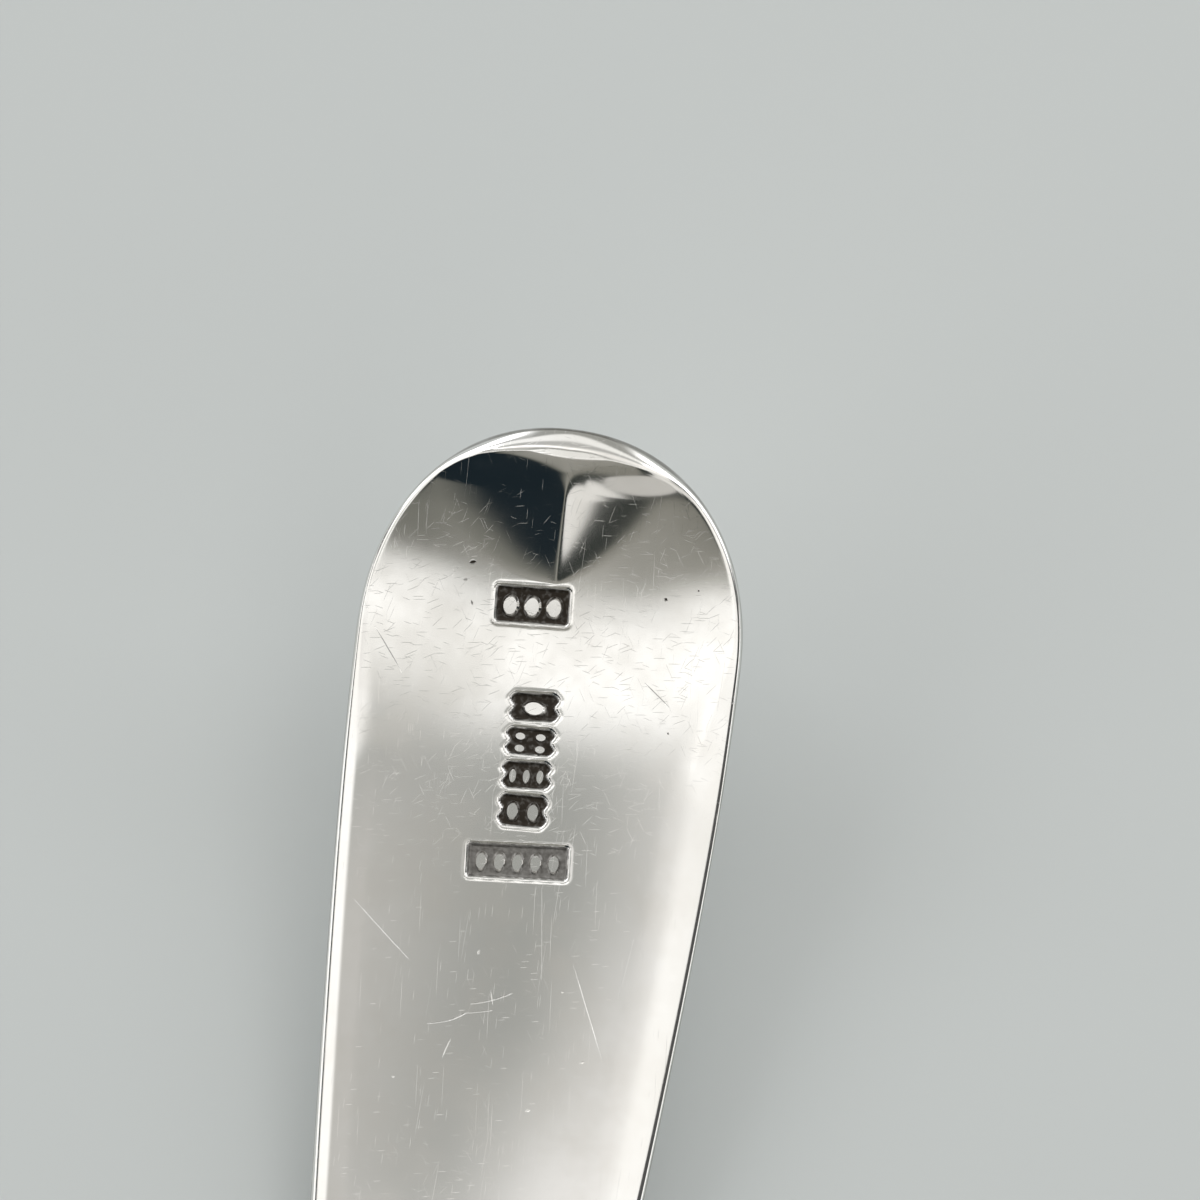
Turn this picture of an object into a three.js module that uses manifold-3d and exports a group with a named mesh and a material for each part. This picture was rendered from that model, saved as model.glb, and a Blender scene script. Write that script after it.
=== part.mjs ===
// A dessert spoon of the plain, round-ended pattern of the early 1800s, in sterling silver.
// It is built up of a bowl, a stem and a drop, hard-soldered together, and lies face down on a table,
// so that the back of the handle shows. It rests on the tip of the bowl and on the crown of the stem.
// Millimetres, +Z up, +Y towards the end of the handle, origin under the middle of the whole spoon.
//
// The pieces are drawn in a frame of their own: the rim of the bowl lies in z = 0, the back of the spoon
// faces +Z, and y = 0 is the joint where the stem meets the bowl. The last section lays that frame down.

import * as THREE from 'three';
import { mergeVertices } from 'three/addons/utils/BufferGeometryUtils.js';
import Module from 'manifold-3d';

const wasm = await Module();
wasm.setup();

// Driving dimensions of the bowl

const BOWL_LENGTH = 61; // heel to tip, in plan
const BOWL_WIDTH = 38.5;
const BOWL_WIDEST = 25; // from the heel to the widest place
const BOWL_DEEPEST = 27.5; // from the heel to the deepest place
const BOWL_DEPTH = 9.4; // highest place of the back above the rim
const BOWL_FULLNESS = 2.2; // power of the dome: 2 is a paraboloid, more is fuller
const BOWL_WALL = 0.8; // measured square to the surface
const RIM_LAND = 0.45; // upright edge all round the rim

// Driving dimensions of the shoulders, where the bowl runs into the stem

const SHOULDER_RADIUS = 5; // hollow curve in plan, from the side of the stem to the rim
const SHOULDER_SEAT = 1.5; // thickness of the tongue on which the drop sits
const NECK_LENGTH = 1.2; // straight tongue between the hollow curve and the joint

// Driving dimensions of the drop on the back of the bowl

const DROP_LENGTH = 15; // from the joint to its rounded end
const DROP_WIDTH = 8;
const DROP_ROUND = 5; // length of the rounded end
const DROP_PROUD = 0.9; // height of its end above the back of the bowl
const DROP_EDGE = 1.4; // width of the rounding along its edge

// Driving dimensions of the stem

const STEM_LENGTH = 120; // along its curve, from the joint to the end
const WAIST_WIDTH = 5.4; // narrowest, beside the bowl
const WAIST_THICKNESS = 3.6;
const WAIST_EASE = 33; // how long the waist stays narrow
const WAIST_EDGE = 2.1; // width of the rounding along the edge, at the waist
const END_WIDTH = 20; // widest, near the end
const END_THICKNESS = 1.4;
const END_EASE = 25; // how long the end stays wide
const END_EDGE = 1; // width of the rounding along the edge, at the end
const END_ARC = 12; // length of the rounded end
const END_FULLNESS = 2.15; // power of the rounded end: 2 is an ellipse, more is squarer
const THINNING = 2; // power by which the stem thins towards its end

// Driving dimensions of the arch, and of the end that turns towards the back with a short rib

const ROOT_ANGLE = 20; // degrees that the stem bends towards its front, just past the bowl
const ROOT_BEND = 16; // length of that bend
const RISE_ANGLE = 16; // degrees that the stem has come back by, before the end turns
const TURN_ANGLE = 32; // further degrees that the end turns
const TURN_LENGTH = 13;
const TURN_POWER = 3; // power by which the turn quickens towards the end
const LIP_RISE = 1; // thickness that the end gains where it turns
const LIP_LENGTH = 5;
const LIP_ROUND = 1.4; // width of the rounding along the very end
const RIB_LENGTH = 8; // from the end
const RIB_FADE = 3.2; // from the end to its highest place, beyond which it sinks into the lip
const RIB_HEIGHT = 0.6; // at its highest place
const RIB_WIDTH = 10.5; // at its highest place, from hollow to hollow
const RIB_HOLLOW = 1.8; // power of its sides: 1 is flat, more is hollower

// Space that the solder fills between two pieces

const SOLDER_GAP = 0.1;

// Fineness of the facets

const DOME_SIDES = 64;
const DOME_RINGS = 13;
const TAPER_STEPS = 34;
const END_STEPS = 20;
const FLAT_STEPS = 14; // across a flat face
const FLAT_CROWDING = 1.5; // power that crowds those steps to the middle line, where the rib stands
const EDGE_STEPS = 4; // round a quarter of an edge
const NECK_STEPS = 10;
const DROP_STEPS = 22;

const SILVER = { color: 0xd9d8d4, metalness: 1, roughness: 0.22 };

// Turns a closed geometry into a solid for joining and cutting.
function solidOf(geometry) {
  const bare = new THREE.BufferGeometry();
  bare.setAttribute('position', geometry.getAttribute('position'));
  bare.setIndex(geometry.getIndex());
  const merged = mergeVertices(bare, 1e-4);
  const mesh = new wasm.Mesh({
    numProp: 3,
    vertProperties: merged.getAttribute('position').array,
    triVerts: new Uint32Array(merged.getIndex().array),
  });
  return new wasm.Manifold(mesh);
}

// Turns a solid back into a geometry.
function geometryOf(solid) {
  const mesh = solid.getMesh();
  const geometry = new THREE.BufferGeometry();
  geometry.setAttribute('position', new THREE.BufferAttribute(mesh.vertProperties, 3));
  geometry.setIndex(new THREE.BufferAttribute(mesh.triVerts, 1));
  geometry.computeVertexNormals();
  return geometry;
}

// A skin over a row of rings with equal numbers of points, closed by a fan at each end.
// Seen from the far end of the row, the points of a ring run anticlockwise.
function loft(rings) {
  const sides = rings[0].length;
  const points = rings.flat();
  const faces = [];
  for (let row = 0; row + 1 < rings.length; row++) {
    for (let side = 0; side < sides; side++) {
      const next = (side + 1) % sides;
      const [a, b] = [row * sides + side, row * sides + next];
      const [c, d] = [a + sides, b + sides];
      const shorter = points[a].distanceTo(points[d]) < points[b].distanceTo(points[c]);
      faces.push(...(shorter ? [a, b, d, a, d, c] : [a, b, c, b, d, c]));
    }
  }
  const ends = [rings[0], rings[rings.length - 1]];
  ends.forEach((ring, end) => {
    const middle = ring.reduce((sum, p) => sum.add(p), new THREE.Vector3()).divideScalar(sides);
    const first = end === 0 ? 0 : (rings.length - 1) * sides;
    const hub = points.push(middle) - 1;
    for (let side = 0; side < sides; side++) {
      const [a, b] = [first + side, first + ((side + 1) % sides)];
      faces.push(hub, ...(end === 0 ? [b, a] : [a, b]));
    }
  });
  return new THREE.BufferGeometry().setFromPoints(points).setIndex(faces);
}

// Evenly spaced values from first to last, both included.
function spread(first, last, steps) {
  return Array.from({ length: steps + 1 }, (_, i) => first + ((last - first) * i) / steps);
}

// Height share of a rounded edge, 0 at the edge itself and 1 from the given width inwards.
function rounded(distance, width) {
  const share = Math.min(1, Math.max(0, distance / width));
  return Math.sqrt(1 - (1 - share) ** 2);
}

// Places across a flat-faced section, from its right edge to its left edge, close together where the edges round.
function acrossSection(half, edge) {
  const inner = Math.max(0, half - edge);
  const turn = spread(0, Math.PI / 2, EDGE_STEPS).map((angle) => half - (half - inner) * (1 - Math.cos(angle)));
  const flat = spread(1, -1, FLAT_STEPS).map((t) => inner * Math.sign(t) * Math.abs(t) ** FLAT_CROWDING).slice(1, -1);
  return [...turn, ...flat, ...turn.map((x) => -x).reverse()];
}

// Shoulders: the hollow curve of SHOULDER_RADIUS touches the side of the stem and the round heel of the bowl.

const heelRadius = (BOWL_WIDTH / 2) ** 2 / BOWL_WIDEST;
const hollowX = WAIST_WIDTH / 2 + SHOULDER_RADIUS;
const hollowRise = Math.sqrt((heelRadius + SHOULDER_RADIUS) ** 2 - hollowX ** 2);
const heelY = -(NECK_LENGTH + hollowRise - heelRadius);
const shoulderEndY = heelY - heelRadius + (hollowRise * heelRadius) / (heelRadius + SHOULDER_RADIUS);
const bowlTipY = heelY - BOWL_LENGTH;
const deepestY = heelY - BOWL_DEEPEST;

// Half width of the shoulders at a place between the joint and the rim.
function shoulderHalfWidth(y) {
  const below = Math.max(0, -NECK_LENGTH - y);
  return hollowX - Math.sqrt(Math.max(0, SHOULDER_RADIUS ** 2 - below ** 2));
}

// Bowl: an egg of two half ellipses in plan, domed from the rim to the deepest place.

// A place on the rim in plan. Turn 0 is the heel, a half turn is the tip.
function rimPoint(turn) {
  const reach = Math.cos(turn) > 0 ? BOWL_WIDEST : BOWL_LENGTH - BOWL_WIDEST;
  const y = heelY - BOWL_WIDEST + reach * Math.cos(turn);
  return new THREE.Vector2((BOWL_WIDTH / 2) * Math.sin(turn), y);
}

// A place on the back of the bowl. Share 0 is the deepest place, share 1 is the rim.
function bowlBack(turn, share) {
  const rim = rimPoint(turn);
  const y = deepestY + (rim.y - deepestY) * share;
  const z = RIM_LAND + (BOWL_DEPTH - RIM_LAND) * (1 - share ** BOWL_FULLNESS);
  return new THREE.Vector3(rim.x * share, y, z);
}

// The same place moved square to the surface, outwards if the distance is positive.
function bowlOffset(turn, share, distance) {
  const step = 1e-3;
  const here = bowlBack(turn, share);
  const along = bowlBack(turn + step, share).sub(here);
  const outwards = bowlBack(turn, share + step).sub(here);
  const normal = along.cross(outwards).normalize();
  return here.addScaledVector(normal, distance);
}

// A closed dome whose skin lies at the given distance from the back of the bowl, standing on the given height.
function bowlDome(distance, floor) {
  const turns = spread(0, 2 * Math.PI, DOME_SIDES).slice(0, -1).reverse();
  const shares = spread(1, 0, DOME_RINGS).map((share) => Math.max(share, 0.02));
  const rings = shares.map((share) => turns.map((turn) => bowlOffset(turn, share, distance)));
  const foot = rings[0].map((p) => new THREE.Vector3(p.x, p.y, floor));
  return solidOf(loft([foot, ...rings]));
}

// Height of the back of the bowl on its middle line, between the heel and the deepest place.
function bowlBackHeight(y) {
  const share = (y - deepestY) / (heelY - deepestY);
  return RIM_LAND + (BOWL_DEPTH - RIM_LAND) * (1 - Math.max(0, share) ** BOWL_FULLNESS);
}

// A block that fills everything above or below a height, for cutting a level seat.
function levelBlock(height, side) {
  const size = 4 * BOWL_LENGTH;
  const block = new THREE.BoxGeometry(size, size, size);
  return solidOf(block.translate(0, 0, height + (side * size) / 2));
}

// The tongue that the shoulders make between the rim and the joint. It has the section of the stem at the joint.
// Towards the rim it widens, thins and loses its upright edge, and where the drop sits it is cut level.
function makeNeck() {
  const rings = spread(-SOLDER_GAP, shoulderEndY - BOWL_WALL, NECK_STEPS).map((y) => {
    const half = shoulderHalfWidth(Math.max(y, shoulderEndY));
    const flare = (half - WAIST_WIDTH / 2) / (shoulderHalfWidth(shoulderEndY) - WAIST_WIDTH / 2);
    const height = THREE.MathUtils.lerp(WAIST_THICKNESS, SHOULDER_SEAT, flare);
    const edgeHeight = THREE.MathUtils.lerp(WAIST_THICKNESS, RIM_LAND, flare) / 2;
    const topEdge = THREE.MathUtils.lerp(WAIST_EDGE, half, flare);
    const across = acrossSection(half, WAIST_EDGE);
    const top = across.map((x) => {
      const crown = rounded(half - Math.abs(x), topEdge);
      return new THREE.Vector3(x, y, THREE.MathUtils.lerp(edgeHeight, height, crown));
    });
    const bottom = across.map((x) => {
      const crown = rounded(half - Math.abs(x), WAIST_EDGE);
      return new THREE.Vector3(x, y, edgeHeight * (1 - crown));
    });
    return [...top.slice(0, -1), ...bottom.reverse().slice(0, -1)];
  });
  return solidOf(loft(rings)).subtract(levelBlock(SHOULDER_SEAT, 1));
}

function makeBowl() {
  const hollow = bowlDome(-BOWL_WALL, -BOWL_DEPTH);
  return bowlDome(0, 0).add(makeNeck()).subtract(hollow);
}

// Drop: a tongue that carries the line of the stem on to the back of the bowl and ends in a step.

function makeDrop() {
  const endY = -DROP_LENGTH;
  const dropTop = new THREE.CubicBezierCurve(
    new THREE.Vector2(-SOLDER_GAP, WAIST_THICKNESS),
    new THREE.Vector2(endY / 3, WAIST_THICKNESS),
    new THREE.Vector2((endY * 2) / 3, bowlBackHeight((endY * 2) / 3) + DROP_PROUD),
    new THREE.Vector2(endY, bowlBackHeight(endY) + DROP_PROUD),
  );
  const rings = spread(0, 1, DROP_STEPS).map((t) => {
    const top = dropTop.getPoint(Math.sin((t * Math.PI) / 2));
    const run = top.x / endY;
    const edge = THREE.MathUtils.lerp(WAIST_EDGE, DROP_EDGE, run);
    const fall = THREE.MathUtils.lerp(WAIST_THICKNESS / 2, DROP_PROUD, run);
    const widening = Math.min(1, top.x / (endY + DROP_ROUND));
    const straight = THREE.MathUtils.lerp(WAIST_WIDTH / 2, DROP_WIDTH / 2, widening);
    const roundShare = Math.max(0, 1 - (top.x - endY) / DROP_ROUND);
    const half = straight * Math.sqrt(Math.max(1e-3, 1 - roundShare ** 2));
    const skin = acrossSection(half, edge).map((x) => {
      const crown = Math.min(rounded(half - Math.abs(x), edge), rounded(top.x - endY, edge));
      return new THREE.Vector3(x, top.x, top.y - (1 - crown) * fall);
    });
    const foot = [skin[skin.length - 1], skin[0]].map((p) => new THREE.Vector3(p.x, p.y, 0));
    return [...skin, ...foot];
  });
  const bowlSeat = bowlDome(SOLDER_GAP, -BOWL_DEPTH);
  return solidOf(loft(rings)).subtract(bowlSeat).subtract(levelBlock(SHOULDER_SEAT + SOLDER_GAP, -1));
}

// Stem: flat-faced sections with rounded edges, square to a line that arches and then turns at the end.

const radians = THREE.MathUtils.degToRad;
const turnStart = STEM_LENGTH - TURN_LENGTH;

// Slope of the front of the stem, at a distance along it from the joint.
function stemSlope(along) {
  const root = THREE.MathUtils.smoothstep(along, 0, ROOT_BEND);
  const rise = Math.max(0, (along - ROOT_BEND) / (turnStart - ROOT_BEND));
  const turn = Math.max(0, (along - turnStart) / TURN_LENGTH);
  const arch = (RISE_ANGLE + ROOT_ANGLE) * Math.min(1, rise) - ROOT_ANGLE * root;
  return radians(arch + TURN_ANGLE * turn ** TURN_POWER);
}

// Place of the front of the stem, by adding up short steps along its slope.
function stemFront(along) {
  const steps = 240;
  const place = new THREE.Vector2();
  for (const at of spread(0.5, steps - 0.5, steps - 1)) {
    const slope = stemSlope((along * at) / steps);
    place.x += (Math.cos(slope) * along) / steps;
    place.y += (Math.sin(slope) * along) / steps;
  }
  return place;
}

function stemThickness(along) {
  const left = 1 - along / STEM_LENGTH;
  const lip = Math.max(0, 1 - (STEM_LENGTH - along) / LIP_LENGTH);
  return END_THICKNESS + (WAIST_THICKNESS - END_THICKNESS) * left ** THINNING + LIP_RISE * lip ** 2;
}

// Height of the rib on the back of the end. It widens and rises towards the lip, and sinks into it.
function ribHeight(x, along) {
  const toEnd = STEM_LENGTH - along;
  const grown = THREE.MathUtils.clamp((RIB_LENGTH - toEnd) / (RIB_LENGTH - RIB_FADE), 0, 1);
  const away = Math.abs(x) / Math.max(1e-6, (RIB_WIDTH / 2) * grown);
  const crest = RIB_HEIGHT * grown * THREE.MathUtils.smoothstep(toEnd, 0, RIB_FADE);
  return crest * Math.max(0, 1 - away) ** RIB_HOLLOW;
}

// Height share of the stem's face at a place, which falls off towards the edge in plan. The rounding is LIP_ROUND
// wide where the edge runs across the stem, and as wide as given where it runs along it.
function stemCrown(x, along, half, sideRound) {
  const endReach = (1 - Math.min(1, Math.abs((2 * x) / END_WIDTH)) ** 2) ** (1 / END_FULLNESS);
  const toSide = half - Math.abs(x);
  const toEnd = Math.max(0, STEM_LENGTH - along - END_ARC * (1 - endReach));
  const span = Math.max(1e-6, Math.hypot(toSide, toEnd));
  return rounded((toSide * toEnd) / span, THREE.MathUtils.lerp(sideRound, LIP_ROUND, toSide / span));
}

// A ring round the stem: its back from right to left, then its front from left to right.
function stemRing(along, half) {
  const front = stemFront(along);
  const slope = stemSlope(along);
  const thickness = stemThickness(along);
  const edge = THREE.MathUtils.lerp(WAIST_EDGE, END_EDGE, along / STEM_LENGTH);
  const place = (x, height) =>
    new THREE.Vector3(x, front.x - height * Math.sin(slope), front.y + height * Math.cos(slope));
  const across = acrossSection(half, edge);
  const backRow = across.map((x) => {
    const crown = stemCrown(x, along, half, edge);
    return place(x, (thickness / 2) * (1 + crown) + ribHeight(x, along) * crown);
  });
  const frontRow = across.map((x) => place(x, (thickness / 2) * (1 - stemCrown(x, along, half, edge))));
  return [...backRow.slice(0, -1), ...frontRow.reverse().slice(0, -1)];
}

function makeStem() {
  const widestAt = STEM_LENGTH - END_ARC;
  const taper = new THREE.CubicBezierCurve(
    new THREE.Vector2(0, WAIST_WIDTH / 2),
    new THREE.Vector2(WAIST_EASE, WAIST_WIDTH / 2),
    new THREE.Vector2(widestAt - END_EASE, END_WIDTH / 2),
    new THREE.Vector2(widestAt, END_WIDTH / 2),
  );
  const rings = taper.getSpacedPoints(TAPER_STEPS).map((p) => stemRing(p.x, p.y));
  for (const turn of spread(0, Math.PI / 2, END_STEPS).slice(1)) {
    const reach = Math.min(Math.sin(turn), 0.998);
    const half = (END_WIDTH / 2) * Math.sqrt(1 - reach ** END_FULLNESS);
    rings.push(stemRing(widestAt + END_ARC * reach, half));
  }
  return solidOf(loft(rings.reverse()));
}

// Assembly

const spoon = new THREE.Group();

function addPiece(name, solid) {
  const piece = new THREE.Mesh(geometryOf(solid), new THREE.MeshStandardMaterial(SILVER));
  piece.name = name;
  spoon.add(piece);
}

addPiece('bowl', makeBowl());
addPiece('drop', makeDrop());
addPiece('stem', makeStem());

// Lays the spoon face down: it turns about the tip of the bowl until the stem touches the table too.

const restAngles = spread(0, STEM_LENGTH, TAPER_STEPS).map((along) => {
  const front = stemFront(along);
  return Math.atan2(-front.y, front.x - bowlTipY);
});
spoon.rotation.x = Math.max(...restAngles);
const extent = new THREE.Box3().setFromObject(spoon, true);
const middle = extent.getCenter(new THREE.Vector3());
spoon.position.set(-middle.x, -middle.y, -extent.min.z);

const part = new THREE.Group();
part.add(spoon);

export default part;
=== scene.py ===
"""A dessert spoon in worn silver, lying face down on a pale table.

The bowl, the drop and the stem are drawn in a frame of their own, as a silversmith would lay them out: the
rim of the bowl lies in z = 0, the back of the spoon faces +Z, and y = 0 is the joint where the stem meets
the bowl. lay_down() then turns them to the way the spoon lies on the table. Lengths are in metres, apart
from those in the short lists of punches, hairlines, scratches and rings, which are in millimetres.
"""

import functools
import itertools
import math
from typing import NamedTuple

import bmesh
import bpy
import numpy as np
from bpy.props import FloatProperty, FloatVectorProperty, IntProperty, PointerProperty
from bpy.types import Operator, Panel, PropertyGroup
from mathutils import Matrix, Vector


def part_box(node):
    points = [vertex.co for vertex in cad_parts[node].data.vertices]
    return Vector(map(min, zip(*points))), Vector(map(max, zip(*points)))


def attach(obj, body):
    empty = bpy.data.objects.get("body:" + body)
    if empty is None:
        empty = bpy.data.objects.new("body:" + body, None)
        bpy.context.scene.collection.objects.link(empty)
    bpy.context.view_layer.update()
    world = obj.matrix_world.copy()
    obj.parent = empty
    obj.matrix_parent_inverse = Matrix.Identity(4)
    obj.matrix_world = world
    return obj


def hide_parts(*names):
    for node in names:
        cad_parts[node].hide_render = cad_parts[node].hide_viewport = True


bl_info = {
    "name": "Dessert spoon",
    "version": (1, 0, 0),
    "blender": (4, 5, 0),
    "location": "3D View > Sidebar > Spoon",
    "description": "Builds a worn silver dessert spoon and the table and light around it",
    "category": "Add Mesh",
}

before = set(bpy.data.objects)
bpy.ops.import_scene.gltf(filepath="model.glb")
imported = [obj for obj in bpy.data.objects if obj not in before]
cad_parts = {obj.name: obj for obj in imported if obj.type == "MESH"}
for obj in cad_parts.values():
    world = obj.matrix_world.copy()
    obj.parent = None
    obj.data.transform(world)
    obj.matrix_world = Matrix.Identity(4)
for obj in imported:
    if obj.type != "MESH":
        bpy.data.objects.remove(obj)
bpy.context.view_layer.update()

MM = 0.001
BODY = "root"
PHOTO_PIXELS = 1200
SENSOR_WIDTH = 36.0
TINY = 1e-9
WELD = 0.0005 * MM
EVEN_SHARE = 0.6
REST_STATIONS = 35


# Settings

def length(name, description, millimetres):
    """A length that a user may change, given here in millimetres."""
    return FloatProperty(
        name=name, description=description, default=millimetres * MM, unit="LENGTH", precision=5
    )


def degrees(name, description, value):
    """An angle that a user may change, given here in degrees."""
    return FloatProperty(name=name, description=description, default=math.radians(value), subtype="ANGLE")


def number(name, description, value, low=0.0):
    """A plain number that a user may change."""
    return FloatProperty(name=name, description=description, default=value, min=low)


def colour(name, description, red, green, blue):
    """A colour that a user may change."""
    return FloatVectorProperty(
        name=name,
        description=description,
        default=(red, green, blue),
        size=3,
        subtype="COLOR",
        min=0,
        max=4,
    )


class SpoonBowl(PropertyGroup):
    """Sizes of the bowl and of the shoulders that run from it into the stem."""

    length: length("Length", "Heel to tip, in plan", 61)
    width: length("Width", "Across the rim at its widest", 38.5)
    widest: length("Widest place", "From the heel", 25)
    deepest: length("Deepest place", "From the heel", 27.5)
    depth: length("Depth", "Highest place of the back above the rim", 9.4)
    fullness: number("Fullness", "Power of the dome: 2 is a paraboloid, more is fuller", 2.2)
    wall: length("Wall", "Thickness of the silver, square to the surface", 0.8)
    rim_land: length("Rim", "Height of the upright edge round the rim", 0.45)
    shoulder_radius: length("Shoulder radius", "Hollow curve in plan between stem and rim", 5)
    seat: length("Tongue", "Thickness of the tongue under the drop", 1.5)
    neck_length: length("Neck", "Straight tongue between the hollow curve and the joint", 1.2)


class SpoonDrop(PropertyGroup):
    """Sizes of the drop, the tongue on the back of the bowl that carries the line of the stem on."""

    length: length("Length", "From the joint to its rounded end", 15)
    width: length("Width", "Across its widest place", 8)
    end_round: length("Rounded end", "Length of the rounded end", 5)
    proud: length("Step", "Height of its end above the back of the bowl", 0.9)
    edge: length("Edge", "Width of the rounding inside its outline", 0.9)
    fillet: length("Fillet", "Width of the hollow between its edge and the bowl", 0.4)


class SpoonStem(PropertyGroup):
    """Sizes of the stem and of its turned end."""

    length: length("Length", "Along its curve, from the joint to the end", 119.7)
    waist_width: length("Waist width", "Narrowest place, beside the bowl", 5.4)
    waist_thickness: length("Waist thickness", "Thickness beside the bowl", 3.6)
    waist_ease: length("Waist ease", "How long the waist stays narrow", 33)
    waist_edge: length("Waist edge", "Width of the rounding along the edge at the waist", 2.1)
    end_width: length("End width", "Widest place, near the end", 20)
    end_thickness: length("End thickness", "Thickness near the end", 1.4)
    end_ease: length("End ease", "How long the end stays wide", 25)
    end_edge: length("End edge", "Width of the soft bevel along the left edge towards the end", 2.0)
    right_edge: length("Right edge", "Width of the soft bevel along the right edge towards the end", 3.4)
    tip_edge: length("Tip edge", "Width of the bevel round the end itself", 0.4)
    bevel: number("Bevel", "Share of half the thickness that the bevel takes off", 0.7)
    arris: length("Arris", "Width of the small round outside the bevel", 0.4)
    end_arc: length("End arc", "Length of the rounded end", 12)
    end_fullness: number("End fullness", "Power of the rounded end: 2 is an ellipse, more is squarer", 2.15)
    thinning: number("Thinning", "Power by which the stem thins towards its end", 2)
    camber: length("Camber", "Radius of the slight crown across the back", 260)
    root_angle: degrees("Root angle", "Bend towards the front, just past the bowl", 20)
    root_bend: length("Root bend", "Length of that bend", 16)
    rise_angle: degrees("Rise", "Slope to which the stem comes back before its end turns", 17.2)
    arch_end: length("Arch end", "Distance from the end at which the arch stops steepening", 10)
    turn_angle: degrees("Turn", "Further slope of the turned end", 24.8)
    turn_length: length("Turn length", "Length of the turned end", 13)
    turn_power: number("Turn power", "How much the turn quickens towards the end", 3)
    turn_lag: length("Turn lag", "How much later the turn starts at the sides", 0.5)
    lip_rise: length("Lip rise", "Thickness that the very end gains", 0.3)
    lip_length: length("Lip length", "Length over which the end thickens", 5)
    lip_round: length("Lip round", "Width of the rounding along the very end", 1.4)
    wear: length("Wear", "Silver rubbed off the crest of the lip", 0.02)
    wear_angle: degrees("Wear angle", "Slope of the flat that is rubbed on the lip", 16.8)
    lip_step: length("Lip step", "Height of the step from the hollows up to the lip", 0.5)
    lip_top: length("Lip top", "From the end to the upper edge of that step", 1.2)
    lip_foot: length("Lip foot", "From the end to the foot of that step", 3.7)
    lip_reach: length("Lip reach", "From the end to where the lip starts to level out", 2.3)
    lip_drop: length("Lip drop", "How far the end sinks as the lip levels out", 0.7)
    rib_length: length("Rib length", "From the end to where the rib starts", 8.4)
    rib_peak: length("Rib peak", "From the end to the highest place of the rib", 1.6)
    rib_height: length("Rib height", "At its highest place", 0.66)
    right_reach: length("Right reach", "From the rib's crest to the outside of its right hollow", 5.6)
    right_spread: number("Right spread", "Power by which that hollow widens towards the lip", 0.8)
    left_reach: length("Left reach", "From the rib's crest to the outside of its left hollow", 7.0)
    left_spread: number("Left spread", "Power by which that hollow widens towards the lip", 0.45)
    rib_hollow: number("Rib hollow", "Power of its sides: 1 is flat, more is hollower", 2.2)
    rib_crest: length("Rib crest", "Rounding of its crest", 0.1)
    rib_merge: length("Rib merge", "Rounding of its crest where it runs into the lip", 1.1)


class SpoonPunches(PropertyGroup):
    """Sizes of the punched panels on the back of the stem and of the pellets in them."""

    depth: length("Depth", "Depth of a punched panel", 0.2)
    wall: length("Wall", "Width of the sloping wall of a panel", 0.16)
    lip_height: length("Lip height", "Height of the silver pushed up round a panel", 0.015)
    lip_width: length("Lip width", "Width of the silver pushed up round a panel", 0.07)
    pellet_height: length("Pellet height", "Height of a pellet above the floor of its panel", 0.17)
    pellet_top: number("Pellet top", "Width of the flat top of a pellet, as a share of its foot", 0.72)
    segments: IntProperty(name="Pellet segments", description="Faces round a pellet", default=28, min=4)


class SpoonFinish(PropertyGroup):
    """Colours and wear of the silver, and the painted shade along the edge of the stem."""

    silver: colour("Silver", "Polished silver", 0.925, 0.917, 0.9)
    toned: colour("Toned silver", "Silver with a thin film of tarnish", 0.80, 0.775, 0.73)
    oxide: colour("Oxide", "Dark oxide in the hollows of the punches", 0.045, 0.038, 0.031)
    # Painted shade: the Edge colour darkens a thin line along the edge of the stem, standing in for the
    # shaded table that the edge reflects there.
    edge: colour("Edge", "Tarnish along the edge of the stem, where it is rubbed least", 0.28, 0.265, 0.245)
    edge_width: length("Edge width", "Width of that tarnish", 0.05)
    roughness: number("Roughness", "Of the polished silver", 0.085)
    rubbed_side: number("Rubbing", "Share of the crossing scratches away from the end of the handle", 0.4)
    hairline_depth: length("Hairline depth", "Of the fine scratches from polishing and use", 0.0016)
    scratch_depth: length("Scratch depth", "Of the few long scratches", 0.006)
    pit_depth: length("Pit depth", "Of the small pits", 0.02)
    wave_height: length("Wave height", "Of the slow unevenness left by the hammer", 0.0035)
    grain_height: length("Grain height", "Of the fine grain left by polishing", 0.00012)


class SpoonStage(PropertyGroup):
    """The table, the light and the camera."""

    table: colour("Table", "Pale matt table", 0.622, 0.65, 0.645)
    table_size: length("Table size", "Side of the table", 4000)
    distance: length("Camera distance", "From the camera to what it looks at", 220)
    azimuth: degrees("Camera azimuth", "To the right of the bowl's end", 8.774)
    elevation: degrees("Camera elevation", "Above the table", 66)
    roll: degrees("Camera roll", "Turn about the line of sight", -1.052)
    focal_pixels: number("Focal length", "In pixels of the square picture", 4157.5)
    target: FloatVectorProperty(
        name="Camera target",
        description="What the camera looks at",
        default=(2.022 * MM, 85.254 * MM, 7.103 * MM),
        size=3,
        subtype="TRANSLATION",
        unit="LENGTH",
    )


class SpoonSettings(PropertyGroup):
    """Everything about the spoon that a user would change."""

    bowl: PointerProperty(type=SpoonBowl)
    drop: PointerProperty(type=SpoonDrop)
    stem: PointerProperty(type=SpoonStem)
    punches: PointerProperty(type=SpoonPunches)
    finish: PointerProperty(type=SpoonFinish)
    stage: PointerProperty(type=SpoonStage)


def settings():
    return bpy.context.scene.dessert_spoon


# Curves and edges shared by the pieces

def clamp(value):
    return np.clip(value, 0.0, 1.0)


def lerp(low, high, share):
    return low + (high - low) * share


def smoothstep(value, low, high):
    share = clamp((value - low) / (high - low))
    return share * share * (3 - 2 * share)


def rounded(distance, width, power=2):
    """Height share of a rounded edge: 0 at the edge itself, 1 from the given width inwards."""
    return np.maximum(0, 1 - (1 - clamp(distance / width)) ** power) ** (1 / power)


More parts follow.
